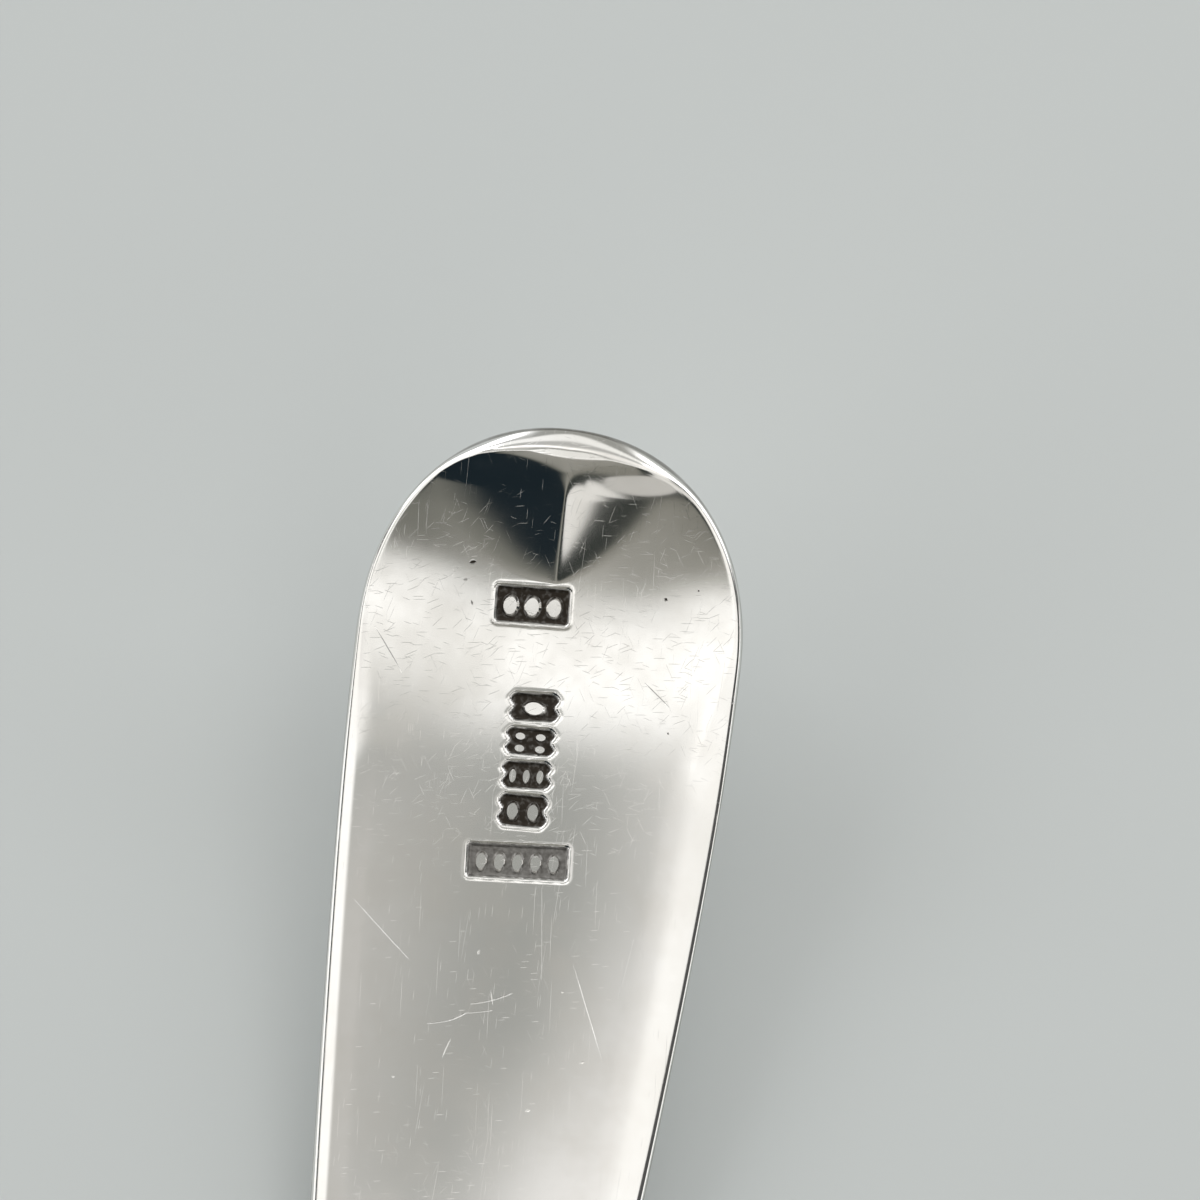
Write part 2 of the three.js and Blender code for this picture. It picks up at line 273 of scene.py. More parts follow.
def softer_max(first, second, blend):
    """The higher of two heights, with the crease between them filled over the given height."""
    share = clamp(0.5 + 0.5 * (first - second) / blend)
    return lerp(second, first, share) + blend * share * (1 - share)


def distance_to_line(points, line):
    """Shortest distance in plan from each point to a row of points joined by straight pieces."""
    starts, steps = line[:-1], np.diff(line, axis=0)
    squares = np.maximum(TINY * TINY, (steps**2).sum(axis=1))
    nearest = np.full(len(points), np.inf)
    for start, step, square in zip(starts, steps, squares):
        offset = points - start
        share = clamp((offset @ step) / square)
        nearest = np.minimum(nearest, np.hypot(*(offset - share[:, None] * step).T))
    return nearest


def both_sides(line):
    """A line in plan down the right side, carried on up the left one."""
    return np.concatenate([line, line[::-1][1:] * (-1, 1)])


def both_halves(shares):
    """Shares of a half width from the middle outwards, carried over to the left half."""
    return np.concatenate([-shares[:0:-1], shares])


def closing_steps(even, close):
    """Steps from 0 to 1: even ones, and then ones that draw closer together towards the end."""
    slowing = np.sin(np.linspace(0, math.pi / 2, close))
    return np.concatenate([np.linspace(0, EVEN_SHARE, even), EVEN_SHARE + (1 - EVEN_SHARE) * slowing[1:]])


def at_height(points, height):
    """Places in plan, lifted to a height."""
    return np.concatenate([points, height[..., None]], axis=-1)


# Bowl in plan and in height

class BowlPlan:
    """The egg of the rim, the hollow shoulders and the dome, worked out from the settings."""

    RIM_STEPS = 1441
    NECK_POINTS = 6
    SHOULDER_POINTS = 25
    EGG_POINTS = 92
    TONGUE_ROUND = 0.8
    TONGUE_RUN = 6 * MM
    TONGUE_FALL = 4 * MM
    TONGUE_BLEND = 0.5 * MM

    def __init__(self, bowl, waist_width):
        self.bowl = bowl
        self.half = bowl.width / 2
        self.waist = waist_width / 2
        heel_radius = self.half**2 / bowl.widest
        self.hollow_x = self.waist + bowl.shoulder_radius
        rise = math.sqrt((heel_radius + bowl.shoulder_radius) ** 2 - self.hollow_x**2)
        self.heel_y = -(bowl.neck_length + rise - heel_radius)
        self.tip_y = self.heel_y - bowl.length
        self.deepest_y = self.heel_y - bowl.deepest
        share = heel_radius / (heel_radius + bowl.shoulder_radius)
        self.shoulder_x = self.hollow_x * share
        self.shoulder_y = self.heel_y - heel_radius + rise * share

    def shoulder_half(self, y):
        """Half width of the shoulders between the joint and the rim."""
        radius = self.bowl.shoulder_radius
        below = np.clip(-self.bowl.neck_length - y, 0, radius)
        return self.hollow_x - np.sqrt(radius**2 - below**2)

    def rim(self, turn):
        """A place on the rim in plan: turn 0 is the heel, half a turn is the tip."""
        reach = np.where(np.cos(turn) > 0, self.bowl.widest, self.bowl.length - self.bowl.widest)
        y = self.heel_y - self.bowl.widest + reach * np.cos(turn)
        return np.stack([self.half * np.sin(turn), y], axis=-1)

    def rim_reach(self, direction):
        """How far the rim is from the deepest place, in each direction in plan."""
        turn = np.linspace(0, 2 * math.pi, self.RIM_STEPS)
        spokes = self.rim(turn) - (0, self.deepest_y)
        around = np.unwrap(np.arctan2(spokes[:, 0], spokes[:, 1]))
        wanted = np.mod(np.arctan2(direction[:, 0], direction[:, 1]), 2 * math.pi)
        return np.interp(wanted, around, np.hypot(*spokes.T))

    def dome(self, share):
        """Height of the back of the bowl. Share 0 is the deepest place, share 1 is the rim."""
        land = self.bowl.rim_land
        return land + (self.bowl.depth - land) * (1 - np.abs(share) ** self.bowl.fullness)

    def share(self, points):
        """How far towards the rim each place in plan lies, from the deepest place."""
        spokes = points - (0, self.deepest_y)
        return np.hypot(*spokes.T) / self.rim_reach(spokes)

    def flare(self, y):
        """0 at the joint, 1 where the shoulders meet the rim."""
        half = self.shoulder_half(np.maximum(y, self.shoulder_y))
        return clamp((half - self.waist) / (self.shoulder_x - self.waist))

    def side_line(self):
        """Outline in plan from the joint down the right side to the tip."""
        neck_y = np.linspace(0, -self.bowl.neck_length, self.NECK_POINTS)
        neck = np.stack([np.full_like(neck_y, self.waist), neck_y], axis=-1)
        meet_x, meet_y = self.shoulder_x - self.hollow_x, self.shoulder_y + self.bowl.neck_length
        meet = math.atan2(meet_y, meet_x) % (2 * math.pi)
        turn = np.linspace(math.pi, meet, self.SHOULDER_POINTS)[1:]
        hollow = np.stack([np.cos(turn), np.sin(turn)], axis=-1) * self.bowl.shoulder_radius
        hollow += (self.hollow_x, -self.bowl.neck_length)
        egg_start = math.asin(self.shoulder_x / self.half)
        egg = self.rim(np.linspace(egg_start, math.pi, self.EGG_POINTS)[1:])
        return np.concatenate([neck, hollow, egg])

    def back(self, points, to_side, thickness):
        """Height of the back of the bowl and of its tongue, in plan."""
        y = points[:, 1]
        flare = self.flare(y)
        edge = np.minimum(lerp(thickness, self.bowl.rim_land, flare) / 2, self.bowl.seat)
        widening = lerp(self.waist * self.TONGUE_ROUND, self.shoulder_x, flare)
        tongue = lerp(edge, self.bowl.seat, rounded(to_side, widening))
        tongue -= self.TONGUE_FALL * (np.maximum(0, self.shoulder_y - y) / self.TONGUE_RUN) ** 2
        return softer_max(self.dome(self.share(points)), tongue, self.TONGUE_BLEND)


# Line and section of the stem

class StemShape:
    """The arched line of the stem and the section that runs along it, worked out from the settings."""

    LINE_STEPS = 4800
    TAPER_STEPS = 2001
    LIP_STEPS = 400
    LIP_POWER = 7
    BEVEL_POWER = 3
    ROUND_POWER = 2
    ARRIS_POWER = 3
    FLATTENING = (0.3, 0.7)  # shares of the length between which the round section goes flat
    BEVEL_FADE = (8 * MM, 20 * MM)  # from the end: where the bevel starts to widen, and where it is full
    LIP_SIDES = (0.35, 0.85)  # shares of the half width between which the step under the lip dies out
    WEAR_BLEND = 0.3

    def __init__(self, stem):
        self.stem = stem
        self.line_along = np.linspace(0, stem.length, self.LINE_STEPS + 1)
        slope = self.slope((self.line_along[1:] + self.line_along[:-1]) / 2)
        step = stem.length / self.LINE_STEPS
        self.line_y = np.concatenate([[0], np.cumsum(np.cos(slope)) * step])
        self.line_z = np.concatenate([[0], np.cumsum(np.sin(slope)) * step])

    def slope(self, along):
        """Slope of the front of the stem, at a distance along it from the joint."""
        stem = self.stem
        turn_start = stem.length - stem.turn_length
        root = smoothstep(along, 0, stem.root_bend)
        rise = clamp((along - stem.root_bend) / (stem.length - stem.arch_end - stem.root_bend))
        turn = np.maximum(0, (along - turn_start) / stem.turn_length)
        arch = (stem.rise_angle + stem.root_angle) * rise - stem.root_angle * root
        return arch + stem.turn_angle * turn**stem.turn_power

    def place(self, x, along, height):
        """A place above the front of the stem, square to it."""
        slope = self.slope(along)
        y = np.interp(along, self.line_along, self.line_y) - height * np.sin(slope)
        z = np.interp(along, self.line_along, self.line_z) + height * np.cos(slope)
        return np.stack(np.broadcast_arrays(x, y, z), axis=-1)

    def half(self, along):
        """Half width of the stem in plan."""
        stem = self.stem
        widest = stem.length - stem.end_arc
        t = np.linspace(0, 1, self.TAPER_STEPS)
        ease_in, ease_out = 3 * (1 - t) ** 2 * t, 3 * (1 - t) * t**2
        taper_along = ease_in * stem.waist_ease + ease_out * (widest - stem.end_ease) + t**3 * widest
        wide = ease_out + t**3
        taper = np.interp(along, taper_along, lerp(stem.waist_width / 2, stem.end_width / 2, wide))
        reach = clamp((along - widest) / stem.end_arc)
        arc = stem.end_width / 2 * np.sqrt(1 - reach**stem.end_fullness)
        return np.where(along > widest, arc, taper)

    def thickness(self, along):
        stem = self.stem
        left = 1 - along / stem.length
        lip = np.maximum(0, 1 - (stem.length - along) / stem.lip_length)
        swell = (stem.waist_thickness - stem.end_thickness) * left**stem.thinning
        return stem.end_thickness + swell + stem.lip_rise * lip**2

    def inset(self, x, along):
        """Distance inwards from the outline, and how far that outline is the end rather than a side."""
        stem = self.stem
        across = clamp(np.abs(2 * x / stem.end_width))
        end_reach = (1 - across**2) ** (1 / stem.end_fullness)
        to_side = np.maximum(0, self.half(along) - np.abs(x))
        to_end = np.maximum(0, stem.length - along - stem.end_arc * (1 - end_reach))
        span = np.maximum(TINY, np.hypot(to_side, to_end))
        return to_side * to_end / span, (to_side / span) ** self.LIP_POWER

    def crown(self, x, along):
        """Height share of the face, which falls off towards the edge in plan."""
        stem = self.stem
        edge, at_lip = self.inset(x, along)
        from_end = stem.length - along
        end_edge = np.where(x < 0, stem.end_edge, stem.right_edge)
        side = lerp(stem.waist_edge, end_edge, along / stem.length)
        side = lerp(stem.tip_edge, side, smoothstep(from_end, *self.BEVEL_FADE))
        bevelled = self.flattened(along)
        arris = lerp(side, stem.arris, bevelled)
        bevel = stem.bevel * bevelled * np.minimum(1, side / end_edge) * (1 - at_lip)
        fall = bevel * np.maximum(0, 1 - edge / side) ** self.BEVEL_POWER
        power = lerp(self.ROUND_POWER, self.ARRIS_POWER, bevelled * (1 - at_lip))
        return rounded(edge, lerp(arris, stem.lip_round, at_lip), power) * (1 - fall)

    def flattened(self, along):
        """How far the section has gone from the round of the waist to the flat of the end."""
        start, full = self.FLATTENING
        return smoothstep(along, start * self.stem.length, full * self.stem.length)

    def rib(self, x, along):
        """Height of the rib in the turned end, the hollows beside it and the lip that it runs into."""
        stem = self.stem
        to_end = stem.length - along
        grown = 1 - clamp((to_end - stem.rib_peak) / (stem.rib_length - stem.rib_peak)) ** 2
        merging = clamp((stem.rib_length / 2 - to_end) / (stem.rib_length / 2 - stem.rib_peak)) ** 2
        crest = lerp(stem.rib_crest, stem.rib_merge, merging)
        away = np.sqrt(x**2 + crest**2) - crest
        right = stem.right_reach * grown**stem.right_spread
        left = stem.left_reach * grown**stem.left_spread
        reach = np.maximum(TINY, np.where(x < 0, left, right))
        rib = stem.rib_height * grown * np.maximum(0, 1 - away / reach) ** stem.rib_hollow
        across = np.abs(2 * x / stem.end_width)
        lip = 1 - smoothstep(to_end, stem.lip_top, stem.lip_foot)
        lip = lip * (1 - smoothstep(across, *self.LIP_SIDES))
        drop = stem.lip_drop * np.maximum(0, 1 - to_end / stem.lip_reach) ** 2
        return lerp(rib, stem.lip_step, lip) - drop

    def camber(self, x, along):
        """How far the back falls off to the sides: a slight crown, and a turn that starts later there."""
        stem = self.stem
        turn = np.maximum(0, 1 - (stem.length - along) / stem.turn_length)
        lag = stem.turn_lag * math.sin(stem.turn_angle) * turn**stem.turn_power
        return x**2 / (2 * stem.camber) * self.flattened(along) + lag * (2 * x / stem.end_width) ** 2

    def unworn_back(self, x, along):
        """Height of the back above the front, as it was forged."""
        crown = self.crown(x, along)
        body = self.thickness(along) / 2 * (1 + crown)
        return body + (self.rib(x, along) - self.camber(x, along)) * crown

    def back(self, x, along):
        """Height of the unpunched back above the front, with the crest of the lip rubbed flat."""
        stem = self.stem
        sine, cosine = math.sin(stem.wear_angle), math.cos(stem.wear_angle)
        lip_along = np.linspace(stem.length - stem.lip_length, stem.length, self.LIP_STEPS)
        lip = self.place(0.0, lip_along, self.unworn_back(np.zeros_like(lip_along), lip_along))
        flat = (lip[:, 2] * cosine - lip[:, 1] * sine).max() - stem.wear
        under = self.place(0.0, along, 0.0)
        room = flat - under[..., 2] * cosine + under[..., 1] * sine
        room = room / np.cos(self.slope(along) - stem.wear_angle)
        room = np.where(along > stem.length - stem.lip_length, room, np.inf)
        forged = self.unworn_back(x, along)
        worn = np.minimum(room, forged + stem.wear)
        return -softer_max(-forged, -worn, self.WEAR_BLEND * stem.wear)

    def front(self, x, along):
        return self.thickness(along) / 2 * (1 - self.crown(x, along))


# Punched panels

class Punch(NamedTuple):
    """A struck panel: its middle across the stem and from the end, its size, turn and wavy sides, and its
    share of oxide, with the number and the half sizes of its pellets. In millimetres and degrees.
    """

    x: float
    from_end: float
    width: float
    height: float
    turn: float
    wave: float
    oxide: float
    columns: int
    rows: int
    pellet_x: float
    pellet_y: float


PUNCHES = (
    Punch(-1.03, 9.70, 3.9, 2.0, -3.0, 0.0, 1.0, 3, 1, 0.48, 0.62),
    Punch(-0.28, 14.95, 2.4, 1.55, -4.0, 0.1, 1.0, 1, 1, 0.66, 0.44),
    Punch(-0.26, 16.75, 2.4, 1.50, -2.5, 0.1, 1.0, 2, 2, 0.34, 0.24),
    Punch(-0.24, 18.50, 2.4, 1.50, -4.0, 0.1, 1.0, 3, 1, 0.24, 0.46),
    Punch(-0.20, 20.35, 2.4, 1.75, -2.0, 0.1, 1.0, 2, 1, 0.38, 0.55),
    Punch(-0.13, 23.00, 5.3, 1.85, -4.5, 0.0, 0.8, 5, 1, 0.36, 0.56),
)
CORNER = 0.22 * MM
PUSHED_PLACE = 0.6  # middle of the silver pushed up round a panel, as a share of its width
BLACK_WALL = 0.7  # share of a panel's wall on which the oxide sets in


def punch_local(punch, x, to_end):
    """Places across and along a panel, from its own middle."""
    turn = math.radians(punch.turn)
    dx, dy = x - punch.x * MM, to_end - punch.from_end * MM
    return dx * math.cos(turn) + dy * math.sin(turn), dy * math.cos(turn) - dx * math.sin(turn)


def punched(x, to_end, punches):
    """Height that the punches add to the back of the stem, and the share of oxide in their hollows."""
    height = np.zeros(np.broadcast(x, to_end).shape)
    oxide = np.zeros_like(height)
    for punch in PUNCHES:
        across, along = punch_local(punch, x, to_end)
        wave = punch.wave * MM * np.cos(4 * math.pi * along / (punch.height * MM))
        past_x = np.abs(across) - (punch.width / 2 * MM - CORNER) + wave
        past_y = np.abs(along) - (punch.height / 2 * MM - CORNER)
        outside = np.hypot(np.maximum(past_x, 0), np.maximum(past_y, 0))
        edge = outside + np.minimum(np.maximum(past_x, past_y), 0) - CORNER
        sunk = smoothstep(-edge, 0, punches.wall)
        pushed = np.exp(-((edge / punches.lip_width - PUSHED_PLACE) ** 2)) * (1 - sunk)
        height += punches.lip_height * pushed - punches.depth * sunk
        oxide = np.maximum(oxide, punch.oxide * smoothstep(-edge, 0, punches.wall * BLACK_WALL))
    return height, oxide


# Meshes

def lay_down(points):
    """Turns points from the frame they are drawn in to the way the spoon lies on the table."""
    bowl, stem = settings().bowl, settings().stem
    shape = StemShape(stem)
    tip_y = BowlPlan(bowl, stem.waist_width).tip_y
    stations = np.linspace(0, stem.length, REST_STATIONS)
    y = np.interp(stations, shape.line_along, shape.line_y)
    z = np.interp(stations, shape.line_along, shape.line_z)
    tilt = np.arctan2(-z, y - tip_y).max()
    low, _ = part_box("bowl")
    tip = low.y + bowl.rim_land * math.sin(tilt)
    ahead, up = points[..., 1] - tip_y, points[..., 2]
    laid = [
        points[..., 0],
        tip + ahead * math.cos(tilt) - up * math.sin(tilt),
        ahead * math.sin(tilt) + up * math.cos(tilt),
    ]
    return np.stack(laid, axis=-1)


def inside_out(points, quads):
    """Whether the faces enclose a negative volume."""
    a, b, c, d = (points[quads[:, i]] for i in range(4))
    volume = (a * np.cross(b, c)).sum() + (a * np.cross(c, d)).sum()
    return volume <= 0


def closed_skin(rings):
    """Points and faces of a skin over rings (row, point, xyz), with a fan over the first and last ring."""
    rows, sides, _ = rings.shape
    middles = [rings[0].mean(axis=0), rings[-1].mean(axis=0)]
    points = np.concatenate([rings.reshape(-1, 3), middles])
    here = np.arange(rows * sides).reshape(rows, sides)
    beside = np.roll(here, -1, axis=1)
    quads = np.stack([here[:-1], beside[:-1], beside[1:], here[1:]], axis=-1).reshape(-1, 4)
    hubs = np.full(sides, rows * sides)
    first = np.stack([hubs, beside[0], here[0]], axis=-1)
    last = np.stack([hubs + 1, here[-1], beside[-1]], axis=-1)
    faces = [quads, first, last]
    if inside_out(points, quads):
        faces = [block[:, ::-1] for block in faces]
    return points, faces


def add_piece(name, points, faces, material, sharp=40.0, **attributes):
    """A finished piece: its place is in its mesh, and its object sits at the origin."""
    mesh = bpy.data.meshes.new(name)
    mesh.from_pydata(points.tolist(), [], [face for block in faces for face in block.tolist()])
    for label, values in attributes.items():
        mesh.attributes.new(label, "FLOAT", "POINT").data.foreach_set("value", values.astype(np.float32))
    mesh.shade_smooth()
    mesh.set_sharp_from_angle(angle=math.radians(sharp))
    mesh.validate()
    mesh.materials.append(material)
    piece = bpy.data.objects.new(name, mesh)
    bpy.context.scene.collection.objects.link(piece)
    return piece


def weld(mesh):
    """Joins points that fall on one place, such as the rings along a side that has no thickness."""
    joined = bmesh.new()
    joined.from_mesh(mesh)
    bmesh.ops.remove_doubles(joined, verts=joined.verts, dist=WELD)
    joined.to_mesh(mesh)
    joined.free()


# Node trees

class Field:
    """A socket of a node tree, with which sums are written as plain arithmetic."""

    def __init__(self, tree, socket):
        self.tree = tree
        self.socket = socket

    def math(self, operation, *others):
        node = self.tree.nodes.new("ShaderNodeMath")
        node.operation = operation
        for value, socket in zip((self, *others), node.inputs):
            plug(self.tree, value, socket)
        return Field(self.tree, node.outputs[0])

    def __add__(self, other):
        return self.math("ADD", other)

    def __sub__(self, other):
        return self.math("SUBTRACT", other)

    def __mul__(self, other):
        return self.math("MULTIPLY", other)

    def __truediv__(self, other):
        return self.math("DIVIDE", other)

    def inverse(self):
        """One minus the value."""
        return (self * -1) + 1

    def ramp(self, low, high):
        """A smooth step from 0 at low to 1 at high."""
        node = add_node(
            self.tree,
            "ShaderNodeMapRange",
            {"Value": self, "From Min": low, "From Max": high},
            interpolation_type="SMOOTHSTEP",
        )
        return Field(self.tree, node.outputs["Result"])


def plug(tree, value, socket):
    """Links a field or a socket to an input, or sets the input's own value."""
    if isinstance(value, Field):
        value = value.socket
    if isinstance(value, bpy.types.NodeSocket):
        tree.links.new(value, socket)
    else:
        socket.default_value = value


def add_node(tree, kind, inputs=None, **options):
    node = tree.nodes.new(kind)
    for name, value in options.items():
        setattr(node, name, value)
    for key, value in (inputs or {}).items():
        plug(tree, value, node.inputs[key])
    return node


def new_group(name, kind, inputs, outputs):
    """A node group with named inputs (name: (type, default)) and outputs (name: type)."""
    tree = bpy.data.node_groups.new(name, kind)
    for label, (socket_type, default) in inputs.items():
        socket = tree.interface.new_socket(name=label, in_out="INPUT", socket_type=socket_type)
        if default is not None:
            socket.default_value = default
    for label, socket_type in outputs.items():
        tree.interface.new_socket(name=label, in_out="OUTPUT", socket_type=socket_type)
    source = tree.nodes.new("NodeGroupInput")
    sink = tree.nodes.new("NodeGroupOutput")
    return tree, source.outputs, sink.inputs


def use_group(tree, group, inputs):
    """Places a node group in a tree and gives its first output as a field."""
    return Field(tree, add_node(tree, "ShaderNodeGroup", inputs, node_tree=group).outputs[0])


def shared_group(name, make):
    """The node group of that name, made once."""
    return bpy.data.node_groups.get(name) or make()


def highest(fields):
    """The highest of several fields."""
    return functools.reduce(lambda first, second: first.math("MAXIMUM", second), fields)


def noise(tree, place, scale, detail=2.0, roughness=0.5):
    node = add_node(
        tree,
        "ShaderNodeTexNoise",
        {"Vector": place, "Scale": scale, "Detail": detail, "Roughness": roughness},
        noise_dimensions="3D",
    )
    return Field(tree, node.outputs[0])


MIX_COLOURS = (6, 7)  # the mix node has sockets for every kind of data; these are the ones for colours
MIX_RESULT = 2


def mix_colour(tree, share, first, second):
    node = add_node(tree, "ShaderNodeMix", {0: share}, data_type="RGBA")
    for value, index in zip((first, second), MIX_COLOURS):
        plug(tree, (*value, 1) if isinstance(value, tuple) else value, node.inputs[index])
    return node.outputs[MIX_RESULT]


LINE_CORE = (0.3, 1.0)  # shares of a hairline's half width between which it runs out
LINE_PICK = (0.45, 1.0)  # of the random numbers of the hairlines, those between which they grow stronger
SCRATCH_CORE = (0.25, 1.0)
SCRATCH_TAPER = (0.5, 0.2)  # shares of a scratch from its middle: where it is thin, and where full
SCRATCH_TIP = 0.4
PIT_CORE = (0.5, 1.0)
PIT_PICK = (0.35, 1.0)
LEAST_PIT = 1e-4
TONE_RANGE = (0.36, 0.68)


def hairline_group():
    """Fine straight scratches that run in one direction, each of its own strength."""
    tree, given, made = new_group(
        "hairlines",
        "ShaderNodeTree",
        {
            "Place": ("NodeSocketVector", None),
            "Direction": ("NodeSocketFloat", 0.0),
            "Width": ("NodeSocketFloat", 0.02 * MM),
            "Length": ("NodeSocketFloat", 1.0 * MM),
            "Spacing": ("NodeSocketFloat", 0.12 * MM),
            "Seed": ("NodeSocketFloat", 0.0),
        },
        {"Line": "NodeSocketFloat"},
    )
    turned = add_node(
        tree,
        "ShaderNodeVectorRotate",
        {"Vector": given["Place"], "Angle": given["Direction"]},
        rotation_type="Z_AXIS",
    ).outputs[0]
    parts = add_node(tree, "ShaderNodeSeparateXYZ", {0: turned}).outputs
    spacing, width, seed = (Field(tree, given[name]) for name in ("Spacing", "Width", "Seed"))
    across = Field(tree, parts[0]) / spacing + seed
    along = Field(tree, parts[1]) / (spacing * (Field(tree, given["Length"]) / width)) + seed
    drawn = add_node(tree, "ShaderNodeCombineXYZ", {0: across, 1: along}).outputs[0]
    cells = add_node(tree, "ShaderNodeTexVoronoi", {"Vector": drawn, "Scale": 1.0}, voronoi_dimensions="2D")
    pick = add_node(tree, "ShaderNodeSeparateColor", {0: cells.outputs["Color"]}).outputs
    line = (Field(tree, cells.outputs["Distance"]) * 2 * spacing / width).ramp(*LINE_CORE).inverse()
    plug(tree, line * Field(tree, pick[0]).ramp(*LINE_PICK), made["Line"])
    return tree


def scratch_group():
    """One long scratch: a thin line between two places in plan."""
    tree, given, made = new_group(
        "scratch",
        "ShaderNodeTree",
        {
            "Place": ("NodeSocketVector", None),
            "From": ("NodeSocketVector", None),
            "To": ("NodeSocketVector", None),
            "Width": ("NodeSocketFloat", 0.04 * MM),
        },
        {"Line": "NodeSocketFloat"},
    )

    def vector(operation, first, second, output=0):
        node = add_node(tree, "ShaderNodeVectorMath", {0: first, 1: second}, operation=operation)
        return node.outputs[output]

    flat = vector("MULTIPLY", vector("SUBTRACT", given["Place"], given["From"]), (1, 1, 0))
    run = vector("MULTIPLY", vector("SUBTRACT", given["To"], given["From"]), (1, 1, 0))
    dot = Field(tree, vector("DOT_PRODUCT", flat, run, "Value"))
    run_square = Field(tree, vector("DOT_PRODUCT", run, run, "Value"))
    share = (dot / run_square).math("MAXIMUM", 0).math("MINIMUM", 1)
    scaled = add_node(tree, "ShaderNodeVectorMath", {0: run, "Scale": share}, operation="SCALE").outputs[0]
    away = Field(tree, vector("DISTANCE", flat, scaled, "Value"))
    width = Field(tree, given["Width"])
    taper = (share - 0.5).math("ABSOLUTE").ramp(*SCRATCH_TAPER) * (1 - SCRATCH_TIP) + SCRATCH_TIP
    plug(tree, (away / (width * taper)).ramp(*SCRATCH_CORE).inverse(), made["Line"])
    return tree


def pit_group():
    """Small pits, few and of uneven size."""
    tree, given, made = new_group(
        "pits",
        "ShaderNodeTree",
        {
            "Place": ("NodeSocketVector", None),
            "Spacing": ("NodeSocketFloat", 3 * MM),
            "Size": ("NodeSocketFloat", 0.03),
        },
        {"Pit": "NodeSocketFloat"},
    )
    scale = Field(tree, given["Spacing"]).math("POWER", -1.0)
    cells = add_node(tree, "ShaderNodeTexVoronoi", {"Vector": given["Place"], "Scale": scale})
    pick = add_node(tree, "ShaderNodeSeparateColor", {0: cells.outputs["Color"]}).outputs
    size = Field(tree, given["Size"]) * Field(tree, pick[0]).ramp(*PIT_PICK) + LEAST_PIT
    plug(tree, (Field(tree, cells.outputs["Distance"]) / size).ramp(*PIT_CORE).inverse(), made["Pit"])
    return tree


def tone_group():
    """Slow, cloudy change of tone, as a thin film of tarnish that has been rubbed."""
    tree, given, made = new_group(
        "tone",
        "ShaderNodeTree",
        {"Place": ("NodeSocketVector", None), "Size": ("NodeSocketFloat", 6 * MM)},
        {"Tone": "NodeSocketFloat"},
    )
    scale = Field(tree, given["Size"]).math("POWER", -1.0)
    cloud = noise(tree, given["Place"], scale, detail=4.0, roughness=0.62)
    plug(tree, cloud.ramp(*TONE_RANGE), made["Tone"])
    return tree


SEED_STEP = 7.3
RUBBED_END = (26, 14)  # where rubbing across the stem sets in and is full, millimetres from its end
RUBBED_LEAST = 0.2
TONE_SIZE = 7 * MM
TONE_SHARE = 0.5
PIT_SPACING = 2.6 * MM
PIT_SIZE = 0.035
WAVE_SIZE = 9 * MM
GRAIN_SIZE = 0.2 * MM
CRUST_SIZE = 0.25 * MM
CRUST_HEIGHT = 0.02 * MM
CRUST_SHARE = (0.75, 0.5)  # oxide where its crust is thinnest, and what the crust adds to it
# PATCH_SIZE and PATCH_RANGE break the painted shade along the edge of the stem into patches.
PATCH_SIZE = 1.6 * MM
PATCH_RANGE = (0.3, 0.62)
PATCH_SHARE = (0.6, 0.4)  # share of painted shade along the edge where it is weakest, and what the patches add to it
TONE_ROUGHNESS = 0.05
HAIRLINE_ROUGHNESS = 0.12
PIT_ROUGHNESS = 0.3
OXIDE_ROUGHNESS = 0.35
SCRATCH_ROUGHNESS = 0.1


class Hairlines(NamedTuple):
    """One family of fine scratches: degrees from the stem's line, and sizes in millimetres."""

    direction: float
    width: float
    length: float
    spacing: float
    weight: float


HAIRLINES = (
    Hairlines(2, 0.014, 3.4, 0.160, 0.8),
    Hairlines(-5, 0.014, 2.6, 0.150, 0.8),
    Hairlines(-1, 0.013, 0.7, 0.110, 0.8),
    Hairlines(80, 0.014, 0.5, 0.150, 0.6),
)
CROSSING_HAIRLINES = (
    Hairlines(17, 0.016, 1.0, 0.130, 0.9),
    Hairlines(41, 0.016, 0.8, 0.130, 0.9),
    Hairlines(-33, 0.016, 0.9, 0.140, 0.9),
    Hairlines(84, 0.018, 0.7, 0.130, 1.0),
    Hairlines(-77, 0.017, 0.5, 0.120, 1.0),
    Hairlines(63, 0.018, 0.8, 0.160, 0.9),
)


class Scratch(NamedTuple):
    """A long scratch or a short pit on the back of the stem, in millimetres across it and from its end."""

    x0: float
    from_end0: float
    x1: float
    from_end1: float
    width: float
    oxide: float = 0.0


